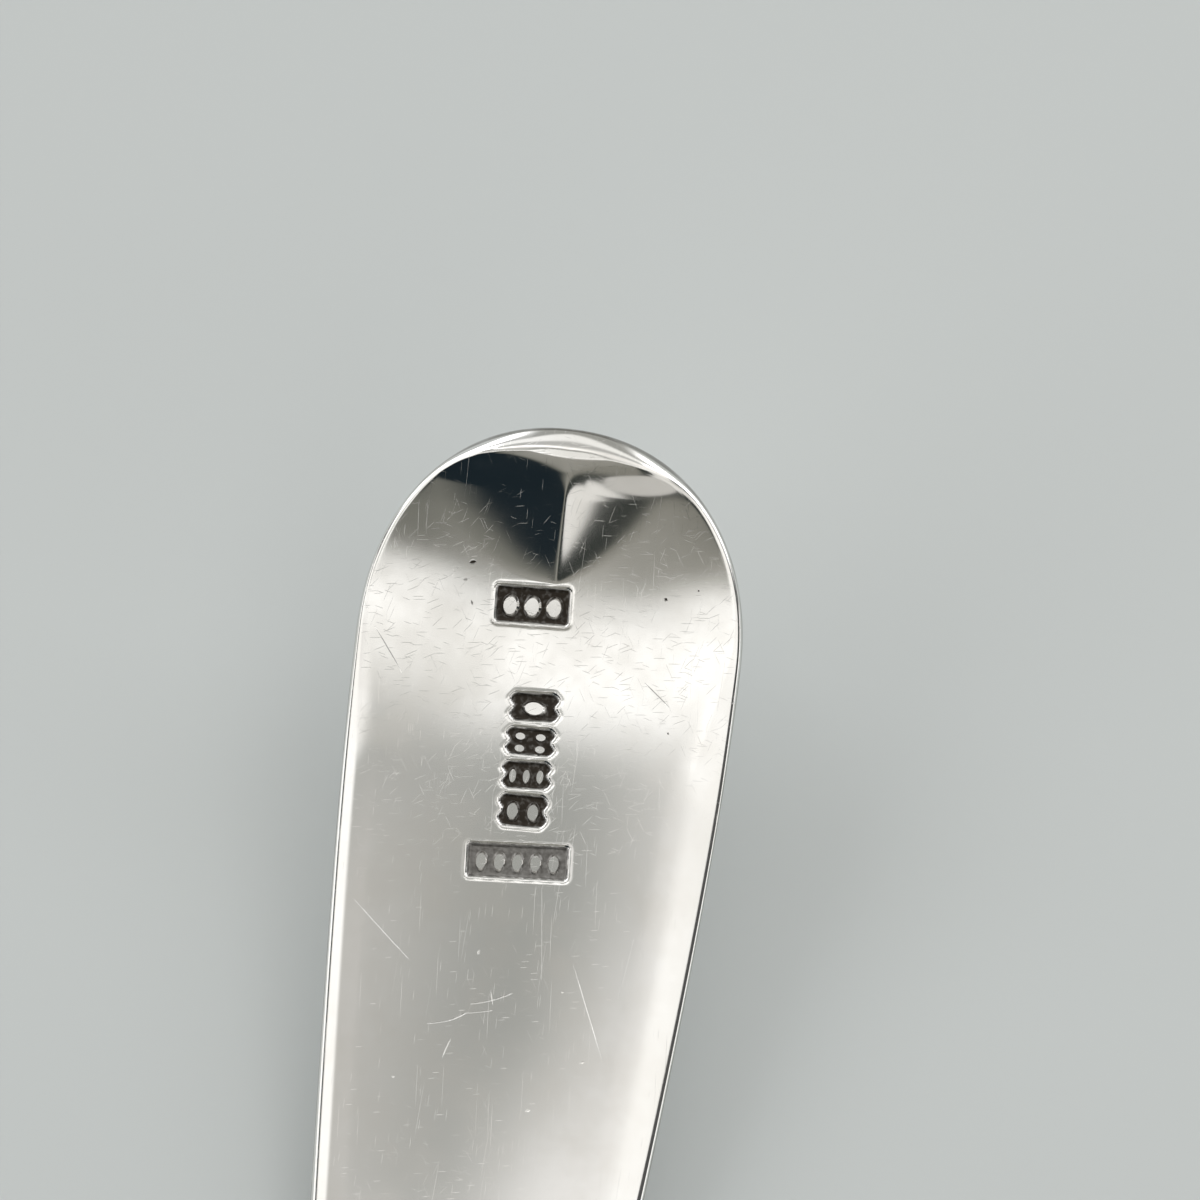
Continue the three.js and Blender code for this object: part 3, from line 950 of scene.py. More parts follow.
SCRATCHES = (
    Scratch(-3.6, 31.9, -2.5, 31.6, 0.03),
    Scratch(-2.5, 31.6, -1.7, 31.1, 0.05),
    Scratch(-1.7, 31.1, -0.4, 30.8, 0.035),
    Scratch(-1.5, 30.6, -0.5, 30.3, 0.04),
    Scratch(-0.5, 30.3, 0.5, 29.8, 0.04),
    Scratch(-0.6, 29.8, -0.4, 30.5, 0.025),
    Scratch(-2.6, 33.5, -2.3, 32.5, 0.03),
    Scratch(1.3, 24.2, 1.9, 28.9, 0.018),
    Scratch(-1.45, 27.8, -1.5, 28.0, 0.07),
    Scratch(-5.0, 34.8, -4.9, 34.8, 0.06),
    Scratch(2.0, 35.7, 2.2, 35.6, 0.07),
    Scratch(3.0, 29.4, 3.1, 29.4, 0.06),
    Scratch(4.4, 32.9, 4.6, 32.8, 0.06),
    Scratch(-8.2, 26.0, -5.0, 28.7, 0.022),
    Scratch(6.3, 26.2, 5.9, 29.3, 0.02),
    Scratch(-9.0, 11.8, -7.3, 14.0, 0.04),
    Scratch(5.2, 13.0, 6.6, 14.1, 0.035),
    Scratch(3.4, 27.9, 5.5, 32.6, 0.018),
    Scratch(-4.50, 7.86, -4.22, 7.78, 0.13, 1.0),
    Scratch(5.71, 8.52, 5.83, 8.58, 0.11, 1.0),
    Scratch(-4.20, 9.85, -4.10, 10.02, 0.07, 0.6),
    Scratch(-4.72, 8.82, -4.52, 8.76, 0.06, 0.5),
    Scratch(7.35, 7.86, 7.41, 7.92, 0.07, 0.8),
    Scratch(6.68, 15.44, 6.76, 15.48, 0.07, 0.7),
)


def hairlines(tree, place, families, first_seed):
    """Several families of fine scratches, the deepest on top."""
    lines = []
    for seed, family in enumerate(families, first_seed):
        line = use_group(
            tree,
            shared_group("hairlines", hairline_group),
            {
                "Place": place,
                "Direction": math.radians(family.direction),
                "Width": family.width * MM,
                "Length": family.length * MM,
                "Spacing": family.spacing * MM,
                "Seed": SEED_STEP * seed,
            },
        )
        lines.append(line * family.weight)
    return highest(lines)


def single_scratches(tree, place):
    """The single scratches and pits on the back of the stem, and the oxide in the pits."""
    lines, stains = [], []
    for scratch in SCRATCHES:
        line = use_group(
            tree,
            shared_group("scratch", scratch_group),
            {
                "Place": place,
                "From": tuple(stem_back_place(scratch.x0, scratch.from_end0)),
                "To": tuple(stem_back_place(scratch.x1, scratch.from_end1)),
                "Width": scratch.width * MM,
            },
        )
        lines.append(line)
        if scratch.oxide:
            stains.append(line * scratch.oxide)
    return highest(lines), highest(stains)


def attribute(tree, name):
    """A mask that is stored on the mesh."""
    node = add_node(tree, "ShaderNodeAttribute", attribute_name=name, attribute_type="GEOMETRY")
    return Field(tree, node.outputs["Fac"])


def silver_material(name, punched_back=False):
    """Worn silver. On the punched back of the stem it is black in the hollows, has single scratches, and
    has a painted shade along the edge of the stem.
    """
    finish = settings().finish
    material = bpy.data.materials.new(name)
    material.use_nodes = True
    tree = material.node_tree
    shader = tree.nodes["Principled BSDF"]
    shader.inputs["Metallic"].default_value = 1.0
    place = add_node(tree, "ShaderNodeTexCoord").outputs["Object"]

    tone = use_group(tree, shared_group("tone", tone_group), {"Place": place, "Size": TONE_SIZE})
    rubbed_across = finish.rubbed_side
    if punched_back:
        along = Field(tree, add_node(tree, "ShaderNodeSeparateXYZ", {0: place}).outputs[1])
        start, full = (stem_back_place(0, from_end)[1] for from_end in RUBBED_END)
        rubbed_across = along.ramp(start, full) * (1 - RUBBED_LEAST) + RUBBED_LEAST
    hair = hairlines(tree, place, HAIRLINES, 1)
    crossing = hairlines(tree, place, CROSSING_HAIRLINES, len(HAIRLINES) + 1)
    hair = hair.math("MAXIMUM", crossing * rubbed_across)
    pitted = {"Place": place, "Spacing": PIT_SPACING, "Size": PIT_SIZE}
    pits = use_group(tree, shared_group("pits", pit_group), pitted)
    waves = noise(tree, place, 1 / WAVE_SIZE)
    grain = noise(tree, place, 1 / GRAIN_SIZE)

    base = mix_colour(tree, tone * TONE_SHARE, tuple(finish.silver), tuple(finish.toned))
    rough = tone * TONE_ROUGHNESS + hair * HAIRLINE_ROUGHNESS + pits * PIT_ROUGHNESS + finish.roughness
    height = waves * finish.wave_height + grain * finish.grain_height
    height = height - hair * finish.hairline_depth - pits * finish.pit_depth
    if punched_back:
        scratches, stains = single_scratches(tree, place)
        crust = noise(tree, place, 1 / CRUST_SIZE, detail=3.0)
        thinnest, thicker = CRUST_SHARE
        black = attribute(tree, "oxide") * (crust * thicker + thinnest)
        black = black.math("MAXIMUM", stains).math("MINIMUM", 1.0)
        # Painted shade: a dark line along the edge of the stem, from the rim mask and broken into patches,
        # standing in for the shaded table that the edge reflects.
        patches = noise(tree, place, 1 / PATCH_SIZE, detail=3.0).ramp(*PATCH_RANGE)
        least, more = PATCH_SHARE
        painted_edge_shade = attribute(tree, "rim") * (patches * more + least)
        base = mix_colour(tree, painted_edge_shade, base, tuple(finish.edge))
        base = mix_colour(tree, black, base, tuple(finish.oxide))
        rough = rough + black * OXIDE_ROUGHNESS + scratches * SCRATCH_ROUGHNESS
        height = height - scratches * finish.scratch_depth + black * crust * CRUST_HEIGHT
    plug(tree, base, shader.inputs["Base Color"])
    plug(tree, rough, shader.inputs["Roughness"])
    bump = add_node(tree, "ShaderNodeBump", {"Height": height, "Strength": 1.0, "Distance": 1.0})
    plug(tree, bump.outputs["Normal"], shader.inputs["Normal"])
    return material


def plain_silver():
    return bpy.data.materials.get("worn_silver") or silver_material("worn_silver")


def stem_back_place(x, from_end):
    """A place on the back of the stem as it lies on the table, from millimetres across and from the end."""
    stem = settings().stem
    shape = StemShape(stem)
    along = stem.length - from_end * MM
    return lay_down(shape.place(x * MM, along, shape.back(np.float64(x * MM), np.float64(along))))


# Operators

class SPOON_OT_bowl(Operator):
    """Raise the bowl, with its rim and the tongue that runs into the stem"""

    bl_idname = "spoon.bowl"
    bl_label = "Bowl"

    END_POINTS = 33
    HEART = 0.01  # the innermost ring, round the deepest place, as a share of the outline
    CLOSER_FROM = 0.74  # share of the outline from which the rings of the back lie closer together
    COARSE_RINGS = 34
    CLOSE_RINGS = 44
    UNDER_RINGS = 20
    INSIDE_RINGS = 54
    INSIDE_FROM = 0.992
    HOLLOW_STEPS = 401
    HOLLOW_START = 40
    OUTER_ROUND = 0.22 * MM
    INNER_ROUND = 0.16 * MM
    INNER_RISE = 0.1 * MM

    def execute(self, context):
        bowl, stem = settings().bowl, settings().stem
        plan = BowlPlan(bowl, stem.waist_width)
        edge_line = both_sides(plan.side_line())
        end = np.sin(np.linspace(-0.5, 0.5, self.END_POINTS)[1:-1] * math.pi) * plan.waist
        outline = np.concatenate([edge_line, np.stack([end, np.zeros_like(end)], axis=-1)])
        middle = np.array([0.0, plan.deepest_y])
        spokes = outline - middle
        reach = np.hypot(*spokes.T)
        rim_reach = plan.rim_reach(spokes)

        def in_plan(share_of_outline):
            points = middle + spokes * share_of_outline[..., None]
            return points, points.reshape(-1, 2)

        coarse = np.linspace(self.HEART, self.CLOSER_FROM, self.COARSE_RINGS)
        close = np.linspace(self.CLOSER_FROM, 1, self.CLOSE_RINGS)[1:]
        shares = np.repeat(np.concatenate([coarse, close])[:, None], len(outline), axis=1)
        points, flat = in_plan(shares)
        to_side = distance_to_line(flat, edge_line)
        back = plan.back(flat, to_side, stem.waist_thickness).reshape(shares.shape)
        outer = at_height(points, back)

        steps = np.linspace(0, 1, self.HOLLOW_STEPS)
        sunk = -self.hollow(plan, steps[:, None] * reach / rim_reach, rim_reach)[self.HOLLOW_START :]
        steps = steps[self.HOLLOW_START :]
        crossing = np.array([np.interp(0, spoke, steps) for spoke in sunk.T])
        under_steps = 0.5 - 0.5 * np.cos(np.linspace(0, math.pi, self.UNDER_RINGS))
        shares = 1 + (crossing - 1) * under_steps[:, None]
        points, flat = in_plan(shares)
        flare = plan.flare(flat[:, 1])
        edge_height = lerp(stem.waist_thickness, bowl.rim_land, flare) / 2
        edge_width = lerp(stem.waist_edge, self.OUTER_ROUND, flare)
        to_side = distance_to_line(flat, edge_line)
        below = (edge_height * (1 - rounded(to_side, edge_width))).reshape(shares.shape)
        below += self.INNER_RISE * (1 - rounded((shares - crossing) * reach, self.INNER_ROUND))
        under = at_height(points, np.minimum(below, back[-1]))

        shares = crossing * np.linspace(self.INSIDE_FROM, self.HEART, self.INSIDE_RINGS)[:, None]
        points, _ = in_plan(shares)
        inside = at_height(points, np.maximum(0, self.hollow(plan, shares * reach / rim_reach, rim_reach)))

        skin, faces = closed_skin(lay_down(np.concatenate([outer, under, inside])))
        piece = add_piece("bowl_raised", skin, faces, plain_silver())
        weld(piece.data)
        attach(piece, BODY)
        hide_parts("bowl")
        return {"FINISHED"}

    @staticmethod
    def hollow(plan, share, rim_reach):
        """Height of the hollow of the bowl, one wall below its back."""
        bowl = plan.bowl
        fall = (bowl.depth - bowl.rim_land) * bowl.fullness * share ** (bowl.fullness - 1) / rim_reach
        return plan.dome(share) - bowl.wall * np.sqrt(1 + fall**2)


class SPOON_OT_drop(Operator):
    """Lay the drop on the back of the bowl, in line with the stem"""

    bl_idname = "spoon.drop"
    bl_label = "Drop"

    RINGS = (40, 60)
    OUTLINE_POINTS = (60, 90)
    ACROSS_POINTS = 61
    SUNK_EDGE = 0.03 * MM  # how far its thin edge lies under the back of the bowl
    SUNK_FOOT = 0.3 * MM  # how far its underside lies under the back of the bowl
    LEAST_THICKNESS = 0.02 * MM
    STEM_BLEND = 4 * MM  # length over which it leaves the section of the stem
    MARGIN_BLEND = 3 * MM
    WIDENS_FROM = 0.5 * MM

    def execute(self, context):
        bowl, drop, stem = settings().bowl, settings().drop, settings().stem
        plan = BowlPlan(bowl, stem.waist_width)
        y = -closing_steps(*self.RINGS) * (drop.length + drop.fillet)
        half = self.half(plan, drop, y, drop.fillet)
        across = np.sin(np.linspace(-math.pi / 2, math.pi / 2, self.ACROSS_POINTS))
        points = np.stack(np.broadcast_arrays(across * half[:, None], y[:, None]), axis=-1)
        flat = points.reshape(-1, 2)

        outline_y = -closing_steps(*self.OUTLINE_POINTS) * drop.length
        outline = both_sides(np.stack([self.half(plan, drop, outline_y, 0.0), outline_y], axis=-1))
        inside = np.abs(flat[:, 0]) < self.half(plan, drop, np.maximum(flat[:, 1], -drop.length), 0.0)
        inside &= flat[:, 1] > -drop.length
        depth = distance_to_line(flat, outline) * np.where(inside, 1, -1)

        to_side = distance_to_line(flat, both_sides(plan.side_line()))
        bowl_back = plan.back(flat, to_side, stem.waist_thickness)
        raised = smoothstep(depth, -drop.fillet, drop.edge)
        top = lerp(bowl_back - self.SUNK_EDGE, self.top(plan, drop, stem, flat[:, 1]), raised)
        section = rounded(plan.waist - np.abs(flat[:, 0]), stem.waist_edge)
        section = stem.waist_thickness / 2 * (1 + section)
        top = lerp(section, top, smoothstep(-flat[:, 1], 0, self.STEM_BLEND))
        foot = np.minimum(bowl_back - self.SUNK_FOOT, top - self.LEAST_THICKNESS)
        over, under = (at_height(points, height.reshape(points.shape[:2])) for height in (top, foot))
        rings = np.concatenate([over, under[:, ::-1]], axis=1)[:-1]
        skin, faces = closed_skin(lay_down(rings))
        piece = add_piece("drop_soldered", skin, faces, plain_silver(), sharp=50)
        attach(piece, BODY)
        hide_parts("drop")
        return {"FINISHED"}

    @classmethod
    def half(cls, plan, drop, y, margin):
        """Half width of the drop in plan, with a margin that fades out at the joint."""
        margin = margin * smoothstep(-y, 0, cls.MARGIN_BLEND)
        straight = drop.length - drop.end_round
        wide = lerp(plan.waist, drop.width / 2, smoothstep(-y, cls.WIDENS_FROM, straight))
        past = np.maximum(0, -y - straight) / (drop.end_round + margin)
        return (wide + margin) * np.sqrt(np.maximum(0, 1 - past**2))

    @staticmethod
    def top(plan, drop, stem, y):
        """Height of the drop's middle line: it leaves the stem level and ends a step above the bowl."""
        t = -y / drop.length
        late_y = np.array([-drop.length * 2 / 3, -drop.length])
        late, last = plan.dome((late_y - plan.deepest_y) / plan.bowl.deepest) + drop.proud
        start = stem.waist_thickness
        return (1 - t) ** 2 * (1 + 2 * t) * start + 3 * (1 - t) * t**2 * late + t**3 * last


class SPOON_OT_stem(Operator):
    """Forge the stem, with its turned end, its rib and its punched panels"""

    bl_idname = "spoon.stem"
    bl_label = "Stem"

    PUNCHED_SHARE = 0.37  # share of the half width on which the punched panels lie
    PUNCHED_POINTS = 46
    PLAIN_POINTS = 15
    EDGE_SHARE = 0.8  # share of the half width from which the points draw closer together
    EDGE_POINTS = 22
    FRONT_POINTS = 13
    PAINTED_SHADE_CORE = 0.2
    RING_RUNS = ((24.8, 0.9), (13.9, 0.08), (11.3, 0.25), (8.6, 0.08), (3.2, 0.11))
    LIP_RINGS = 58
    NEAR_END = 0.002
    LAST_RING = 0.001

    def execute(self, context):
        stem, punches = settings().stem, settings().punches
        shape = StemShape(stem)
        to_end = self.rings(stem)[:, None]
        along = stem.length - to_end
        half = shape.half(along)

        slowing = np.sin(np.linspace(0, math.pi / 2, self.EDGE_POINTS))
        edge = self.EDGE_SHARE + (1 - self.EDGE_SHARE) * slowing
        fine = np.linspace(0, self.PUNCHED_SHARE, self.PUNCHED_POINTS)
        plain = np.linspace(self.PUNCHED_SHARE, self.EDGE_SHARE, self.PLAIN_POINTS)[1:-1]
        x = both_halves(np.concatenate([fine, plain, edge])) * half
        height, oxide = punched(x, to_end, punches)
        back = shape.place(x, along, shape.back(x, along) + height)
        back_painted_shade = self.rim(shape, x, along)

        coarse = np.linspace(0, self.EDGE_SHARE, self.FRONT_POINTS)[:-1]
        x = both_halves(np.concatenate([coarse, edge]))[1:-1] * half
        front = shape.place(x, along, shape.front(x, along))
        front_painted_shade = self.rim(shape, x, along)

        skin, faces = closed_skin(lay_down(np.concatenate([back, front[:, ::-1]], axis=1)))
        oxide = np.concatenate([oxide, np.zeros_like(front_painted_shade)], axis=1)
        # rim is the painted shade along the edge, stored on the mesh for the material.
        rim = np.concatenate([back_painted_shade, front_painted_shade[:, ::-1]], axis=1)
        oxide, rim = (np.concatenate([mask.ravel(), [0.0, 0.0]]) for mask in (oxide, rim))
        material = silver_material("punched_silver", punched_back=True)
        piece = add_piece("stem_forged", skin, faces, material, sharp=60, oxide=oxide, rim=rim)
        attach(piece, BODY)
        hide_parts("stem")
        return {"FINISHED"}

    @classmethod
    def rim(cls, shape, x, along):
        """Share of painted shade along the edge: a dark line standing in for the shaded table that the edge
        reflects.
        """
        width = settings().finish.edge_width
        return 1 - smoothstep(shape.inset(x, along)[0], cls.PAINTED_SHADE_CORE * width, width)

    @classmethod
    def rings(cls, stem):
        """Distances from the end at which the stem gets a ring, close together at the panels and the lip.

        RING_RUNS says how far each run of even rings goes and how far apart they lie. Like the places of
        the last rings, that is in millimetres.
        """
        runs, start = [], stem.length / MM
        for stop, pitch in cls.RING_RUNS:
            runs.append(np.arange(start, stop, -pitch))
            start = stop
        lip = start * (1 - np.sin(np.linspace(0, math.pi / 2, cls.LIP_RINGS)))
        runs.append(np.maximum(lip, cls.NEAR_END)[:-1])
        return np.concatenate([*runs, [cls.LAST_RING]]) * MM


class SPOON_OT_pellets(Operator):
    """Set plain pellets in the punched panels of the stem"""

    bl_idname = "spoon.pellets"
    bl_label = "Pellets"

    ROOM_ACROSS = 0.88  # share of a panel's width over which its pellets are spread
    ROOM_ALONG = 0.84
    LIFT = 2 * MM  # how far above the stem a place starts, before it is dropped on to it
    FALL = 6 * MM

    def execute(self, context):
        punches = settings().punches
        places, sizes = self.places(punches)
        mesh = bpy.data.meshes.new("pellet_places")
        mesh.from_pydata(places.tolist(), [], [])
        mesh.attributes.new("size", "FLOAT_VECTOR", "POINT").data.foreach_set("vector", sizes.ravel())
        piece = bpy.data.objects.new("pellets", mesh)
        context.scene.collection.objects.link(piece)

        tree = self.tree()
        modifier = piece.modifiers.new("pellets", "NODES")
        modifier.node_group = tree
        names = {item.name: item.identifier for item in tree.interface.items_tree if item.in_out == "INPUT"}
        modifier[names["Stem"]] = bpy.data.objects["stem_forged"]
        modifier[names["Segments"]] = punches.segments
        modifier[names["Top"]] = punches.pellet_top
        modifier[names["Material"]] = plain_silver()
        context.view_layer.update()
        evaluated = piece.evaluated_get(context.evaluated_depsgraph_get())
        made = bpy.data.meshes.new_from_object(evaluated)
        piece.modifiers.remove(modifier)
        piece.data = made
        made.name = "pellets"
        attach(piece, BODY)
        return {"FINISHED"}

    @classmethod
    def places(cls, punches):
        """Where each pellet stands, a little above the stem, and its half sizes across, along and up."""
        places, sizes = [], []
        for punch in PUNCHES:
            turn = math.radians(punch.turn)
            room_across = punch.width / punch.columns * cls.ROOM_ACROSS
            room_along = punch.height / punch.rows * cls.ROOM_ALONG
            for column, row in itertools.product(range(punch.columns), range(punch.rows)):
                across = (column - (punch.columns - 1) / 2) * room_across
                along = (row - (punch.rows - 1) / 2) * room_along
                x = punch.x + across * math.cos(turn) - along * math.sin(turn)
                from_end = punch.from_end + across * math.sin(turn) + along * math.cos(turn)
                places.append(stem_back_place(x, from_end) + (0, 0, cls.LIFT))
                sizes.append((punch.pellet_x * MM, punch.pellet_y * MM, punches.pellet_height))
        return np.array(places), np.array(sizes)

    @classmethod
    def tree(cls):
        """Drops each place on to the stem and sets a pellet there, square to the surface."""
        tree, given, made = new_group(
            "pellets on the stem",
            "GeometryNodeTree",
            {
                "Geometry": ("NodeSocketGeometry", None),
                "Stem": ("NodeSocketObject", None),
                "Segments": ("NodeSocketInt", 20),
                "Top": ("NodeSocketFloat", 0.7),
                "Material": ("NodeSocketMaterial", None),
            },
            {"Geometry": "NodeSocketGeometry"},
        )

        def named(name, data_type):
            node = add_node(tree, "GeometryNodeInputNamedAttribute", {"Name": name}, data_type=data_type)
            return node.outputs["Attribute"]

        stem = add_node(
            tree, "GeometryNodeObjectInfo", {"Object": given["Stem"]}, transform_space="ORIGINAL"
        ).outputs["Geometry"]
        fall = add_node(
            tree,
            "GeometryNodeRaycast",
            {"Target Geometry": stem, "Ray Direction": (0, 0, -1), "Ray Length": cls.FALL},
        ).outputs
        upright = add_node(
            tree, "FunctionNodeAlignRotationToVector", {"Vector": fall["Hit Normal"]}, axis="Z"
        ).outputs[0]
        kept = add_node(
            tree,
            "GeometryNodeStoreNamedAttribute",
            {"Geometry": given["Geometry"], "Name": "upright", "Value": upright},
            data_type="QUATERNION",
            domain="POINT",
        ).outputs["Geometry"]
        settled = add_node(
            tree, "GeometryNodeSetPosition", {"Geometry": kept, "Position": fall["Hit Position"]}
        ).outputs["Geometry"]
        pellet = add_node(
            tree,
            "GeometryNodeMeshCone",
            {"Vertices": given["Segments"], "Radius Top": given["Top"], "Radius Bottom": 1.0, "Depth": 1.0},
        ).outputs["Mesh"]
        placed = add_node(
            tree,
            "GeometryNodeInstanceOnPoints",
            {
                "Points": settled,
                "Instance": pellet,
                "Rotation": named("upright", "QUATERNION"),
                "Scale": named("size", "FLOAT_VECTOR"),
            },
        ).outputs["Instances"]
        real = add_node(tree, "GeometryNodeRealizeInstances", {"Geometry": placed}).outputs["Geometry"]
        painted = add_node(
            tree, "GeometryNodeSetMaterial", {"Geometry": real, "Material": given["Material"]}
        ).outputs["Geometry"]
        plug(tree, painted, made["Geometry"])
        return tree


class StudioPanel(NamedTuple):
    """A soft panel of light or a dark card, by degrees from overhead to the front and to the right.

    A later panel covers the earlier ones.
    """

    name: str
    front: tuple
    right: tuple
    blur: float
    colour: tuple


STUDIO_BASE = (0.345, 0.35, 0.33)
STUDIO_PANELS = (
    StudioPanel("left light bank", (-88, -16), (-68, -20), 6.0, (2.5, 2.52, 2.54)),
    StudioPanel("right light bank", (-88, -20), (18, 68), 6.0, (2.5, 2.52, 2.54)),
    StudioPanel("gap in the left bank", (-58, -44), (-72, -16), 6.0, (0.4, 0.4, 0.39)),
    StudioPanel("gap in the right bank", (-58, -44), (14, 72), 6.0, (0.4, 0.4, 0.39)),
    StudioPanel("rear strip", (-44, -27), (-24, 18), 3.0, (1.0, 1.0, 0.98)),
    StudioPanel("rear ceiling", (-27, -13), (-24, 16), 3.0, (0.5, 0.5, 0.485)),
    StudioPanel("overhead strip", (-13, 1.5), (-24, 2), 2.5, (1.5, 1.49, 1.46)),
    StudioPanel("left bounce", (-2, 16), (-50, -7.6), 4.0, (0.56, 0.55, 0.525)),
    StudioPanel("ceiling light", (-16, 6.5), (-3.4, 44), 3.0, (0.95, 0.935, 0.91)),
    StudioPanel("ceiling light, middle", (3, 11), (-0.8, 44), 3.0, (0.92, 0.905, 0.88)),
    StudioPanel("ceiling light, front end", (8, 18), (0, 44), 3.0, (0.74, 0.73, 0.705)),
    StudioPanel("ceiling light, right end", (-16, 18), (9, 44), 8.0, (1.1, 1.09, 1.06)),
    StudioPanel("front wall", (22.1, 120), (-90, 90), 0.9, (0.172, 0.172, 0.15)),
    StudioPanel("front wall, lit side", (22.3, 120), (-4, 90), 1.0, (0.27, 0.265, 0.233)),
    StudioPanel("window, left end", (18.6, 22.8), (-60, -7.6), 1.0, (1.25, 1.24, 1.21)),
    StudioPanel("window", (17.8, 22.0), (-7.6, 60), 1.0, (1.3, 1.29, 1.26)),
    StudioPanel("window, right end", (19.5, 23.2), (0.6, 60), 1.0, (1.3, 1.29, 1.26)),
    StudioPanel("window, left return", (21, 26.5), (-60, -17), 1.0, (0.95, 0.94, 0.92)),
    StudioPanel("window, right return", (18, 26.5), (9, 44), 1.0, (1.1, 1.09, 1.06)),
    StudioPanel("front wall, near", (23.5, 42.5), (-7.5, -0.5), 2.5, (0.33, 0.325, 0.295)),
    StudioPanel("dark card", (31.7, 88), (-62, -12), 3.5, (0.010, 0.017, 0.022)),
    StudioPanel("low dark card", (44.8, 88), (-62, -5), 3.0, (0.010, 0.017, 0.022)),
    StudioPanel("grey card", (27.3, 95), (3.2, 34), 1.2, (0.03, 0.035, 0.032)),
    StudioPanel("strip light", (28.8, 95), (16, 34), 0.8, (0.85, 0.84, 0.81)),
    StudioPanel("strip light, second step", (50.7, 95), (13.5, 34), 1.0, (0.85, 0.84, 0.81)),
    StudioPanel("strip light, third step", (60.5, 95), (8.8, 34), 1.0, (0.85, 0.84, 0.81)),
    StudioPanel("strip light, fourth step", (72, 95), (0, 34), 2.0, (0.58, 0.57, 0.545)),
    StudioPanel("left front light", (26, 82), (-64, -40), 6.0, (1.3, 1.3, 1.29)),
    StudioPanel("right front light", (26, 82), (42, 64), 6.0, (1.3, 1.3, 1.29)),
    StudioPanel("left light", (-16, 44), (-64, -36), 4.0, (1.15, 1.14, 1.11)),
    StudioPanel("right dark card", (-22, 44), (44, 68), 2.0, (0.08, 0.08, 0.08)),
    StudioPanel("left skirting", (-90, 90), (-91, -66), 3.0, (0.08, 0.08, 0.08)),
    StudioPanel("right skirting", (-90, 90), (66, 91), 3.0, (0.08, 0.08, 0.08)),
    StudioPanel("left low light", (-95, 95), (-95, -76), 1.5, (1.3, 1.3, 1.28)),
    StudioPanel("right low light", (-95, 95), (76, 95), 1.5, (1.3, 1.3, 1.28)),
)


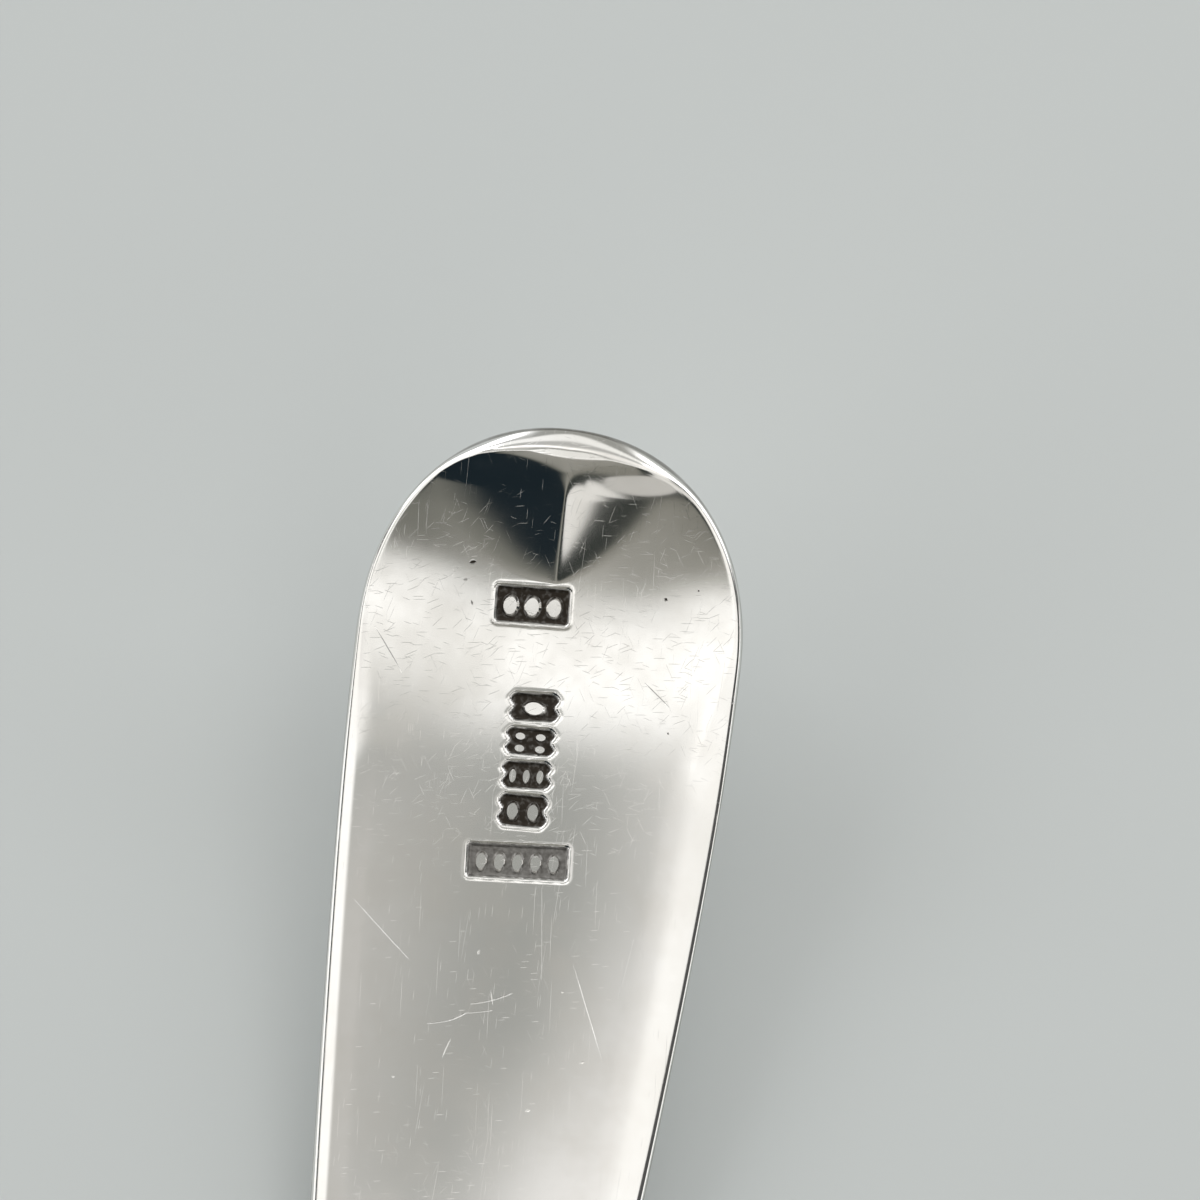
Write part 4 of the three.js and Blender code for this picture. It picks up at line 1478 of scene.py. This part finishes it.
class SPOON_OT_stage(Operator):
    """Set the table, the soft light and the camera"""

    bl_idname = "spoon.stage"
    bl_label = "Table, light and camera"

    TABLE_ROUGHNESS = 0.85
    CLOUD_SCALE = 6.0
    CLOUD_SHADE = 0.94
    CLIP_START = 0.01

    def execute(self, context):
        self.table(context.scene)
        self.light(context.scene)
        self.camera(context.scene)
        context.scene.view_settings.view_transform = "Standard"
        return {"FINISHED"}

    def table(self, scene):
        stage = settings().stage
        half = stage.table_size / 2
        mesh = bpy.data.meshes.new("table")
        corners = [(-half, -half, 0), (half, -half, 0), (half, half, 0), (-half, half, 0)]
        mesh.from_pydata(corners, [], [(0, 1, 2, 3)])
        material = bpy.data.materials.new("table_top")
        material.use_nodes = True
        tree = material.node_tree
        shader = tree.nodes["Principled BSDF"]
        shader.inputs["Roughness"].default_value = self.TABLE_ROUGHNESS
        place = add_node(tree, "ShaderNodeTexCoord").outputs["Object"]
        cloud = noise(tree, place, self.CLOUD_SCALE)
        tint = tuple(stage.table)
        darker = tuple(value * self.CLOUD_SHADE for value in tint)
        plug(tree, mix_colour(tree, cloud, darker, tint), shader.inputs["Base Color"])
        mesh.materials.append(material)
        top = bpy.data.objects.new("table", mesh)
        scene.collection.objects.link(top)

    @staticmethod
    def panel_group():
        """The share of a panel in a direction, with soft edges."""
        edges = {
            name: ("NodeSocketFloat", 0.0)
            for name in ("Front", "Right", "Front from", "Front to", "Right from", "Right to", "Blur")
        }
        tree, given, made = new_group("studio panel", "ShaderNodeTree", edges, {"Share": "NodeSocketFloat"})
        blur = Field(tree, given["Blur"])
        share = None
        for axis in ("Front", "Right"):
            angle = Field(tree, given[axis])
            low, high = Field(tree, given[axis + " from"]), Field(tree, given[axis + " to"])
            inside = angle.ramp(low - blur, low + blur) * angle.ramp(high - blur, high + blur).inverse()
            share = inside if share is None else share * inside
        plug(tree, share, made["Share"])
        return tree

    def light(self, scene):
        world = bpy.data.worlds.new("studio")
        world.use_nodes = True
        tree = world.node_tree
        tree.nodes.clear()
        direction = add_node(tree, "ShaderNodeTexCoord").outputs["Generated"]
        parts = add_node(tree, "ShaderNodeSeparateXYZ", {0: direction}).outputs
        x, y, z = (Field(tree, part) for part in parts)
        front = (y * -1).math("ARCTAN2", z) * math.degrees(1)
        right = x.math("ARCSINE") * math.degrees(1)
        group = self.panel_group()
        seen = STUDIO_BASE
        for panel in STUDIO_PANELS:
            share = use_group(
                tree,
                group,
                {
                    "Front": front,
                    "Right": right,
                    "Front from": panel.front[0],
                    "Front to": panel.front[1],
                    "Right from": panel.right[0],
                    "Right to": panel.right[1],
                    "Blur": panel.blur,
                },
            )
            seen = mix_colour(tree, share, seen, panel.colour)
        background = add_node(tree, "ShaderNodeBackground", {"Color": seen})
        output = tree.nodes.new("ShaderNodeOutputWorld")
        tree.links.new(background.outputs[0], output.inputs["Surface"])
        scene.world = world

    def camera(self, scene):
        stage = settings().stage
        level, up = math.cos(stage.elevation), math.sin(stage.elevation)
        right = Vector((math.cos(stage.azimuth), math.sin(stage.azimuth), 0))
        back = Vector((right.y * level, -right.x * level, up))
        turned = Matrix((right, back.cross(right), back)).transposed() @ Matrix.Rotation(stage.roll, 3, "Z")
        camera = bpy.data.cameras.new("camera")
        camera.sensor_width = SENSOR_WIDTH
        camera.lens = stage.focal_pixels / PHOTO_PIXELS * SENSOR_WIDTH
        camera.clip_start = self.CLIP_START
        eye = bpy.data.objects.new("camera", camera)
        scene.collection.objects.link(eye)
        place = Vector(stage.target) + back * stage.distance
        eye.matrix_world = Matrix.Translation(place) @ turned.to_4x4()
        scene.camera = eye


class SPOON_PT_spoon(Panel):
    """The spoon's sizes, finish and pieces in the sidebar"""

    bl_idname = "SPOON_PT_spoon"
    bl_label = "Dessert spoon"
    bl_space_type = "VIEW_3D"
    bl_region_type = "UI"
    bl_category = "Spoon"

    def draw(self, context):
        for name in ("bowl", "drop", "stem", "punches", "finish", "stage"):
            group = getattr(context.scene.dessert_spoon, name)
            column = self.layout.box().column()
            column.label(text=name.capitalize())
            for key in group.__annotations__:
                column.prop(group, key)
        for operator in PIECES:
            self.layout.operator(operator.bl_idname)


PIECES = (SPOON_OT_bowl, SPOON_OT_drop, SPOON_OT_stem, SPOON_OT_pellets, SPOON_OT_stage)
CLASSES = (
    SpoonBowl,
    SpoonDrop,
    SpoonStem,
    SpoonPunches,
    SpoonFinish,
    SpoonStage,
    SpoonSettings,
    *PIECES,
    SPOON_PT_spoon,
)


def register():
    for item in CLASSES:
        bpy.utils.register_class(item)
    bpy.types.Scene.dessert_spoon = PointerProperty(type=SpoonSettings)


def unregister():
    del bpy.types.Scene.dessert_spoon
    for item in reversed(CLASSES):
        bpy.utils.unregister_class(item)


def main():
    register()
    bpy.ops.spoon.bowl()
    bpy.ops.spoon.drop()
    bpy.ops.spoon.stem()
    bpy.ops.spoon.pellets()
    bpy.ops.spoon.stage()


if __name__ == "__main__":
    main()
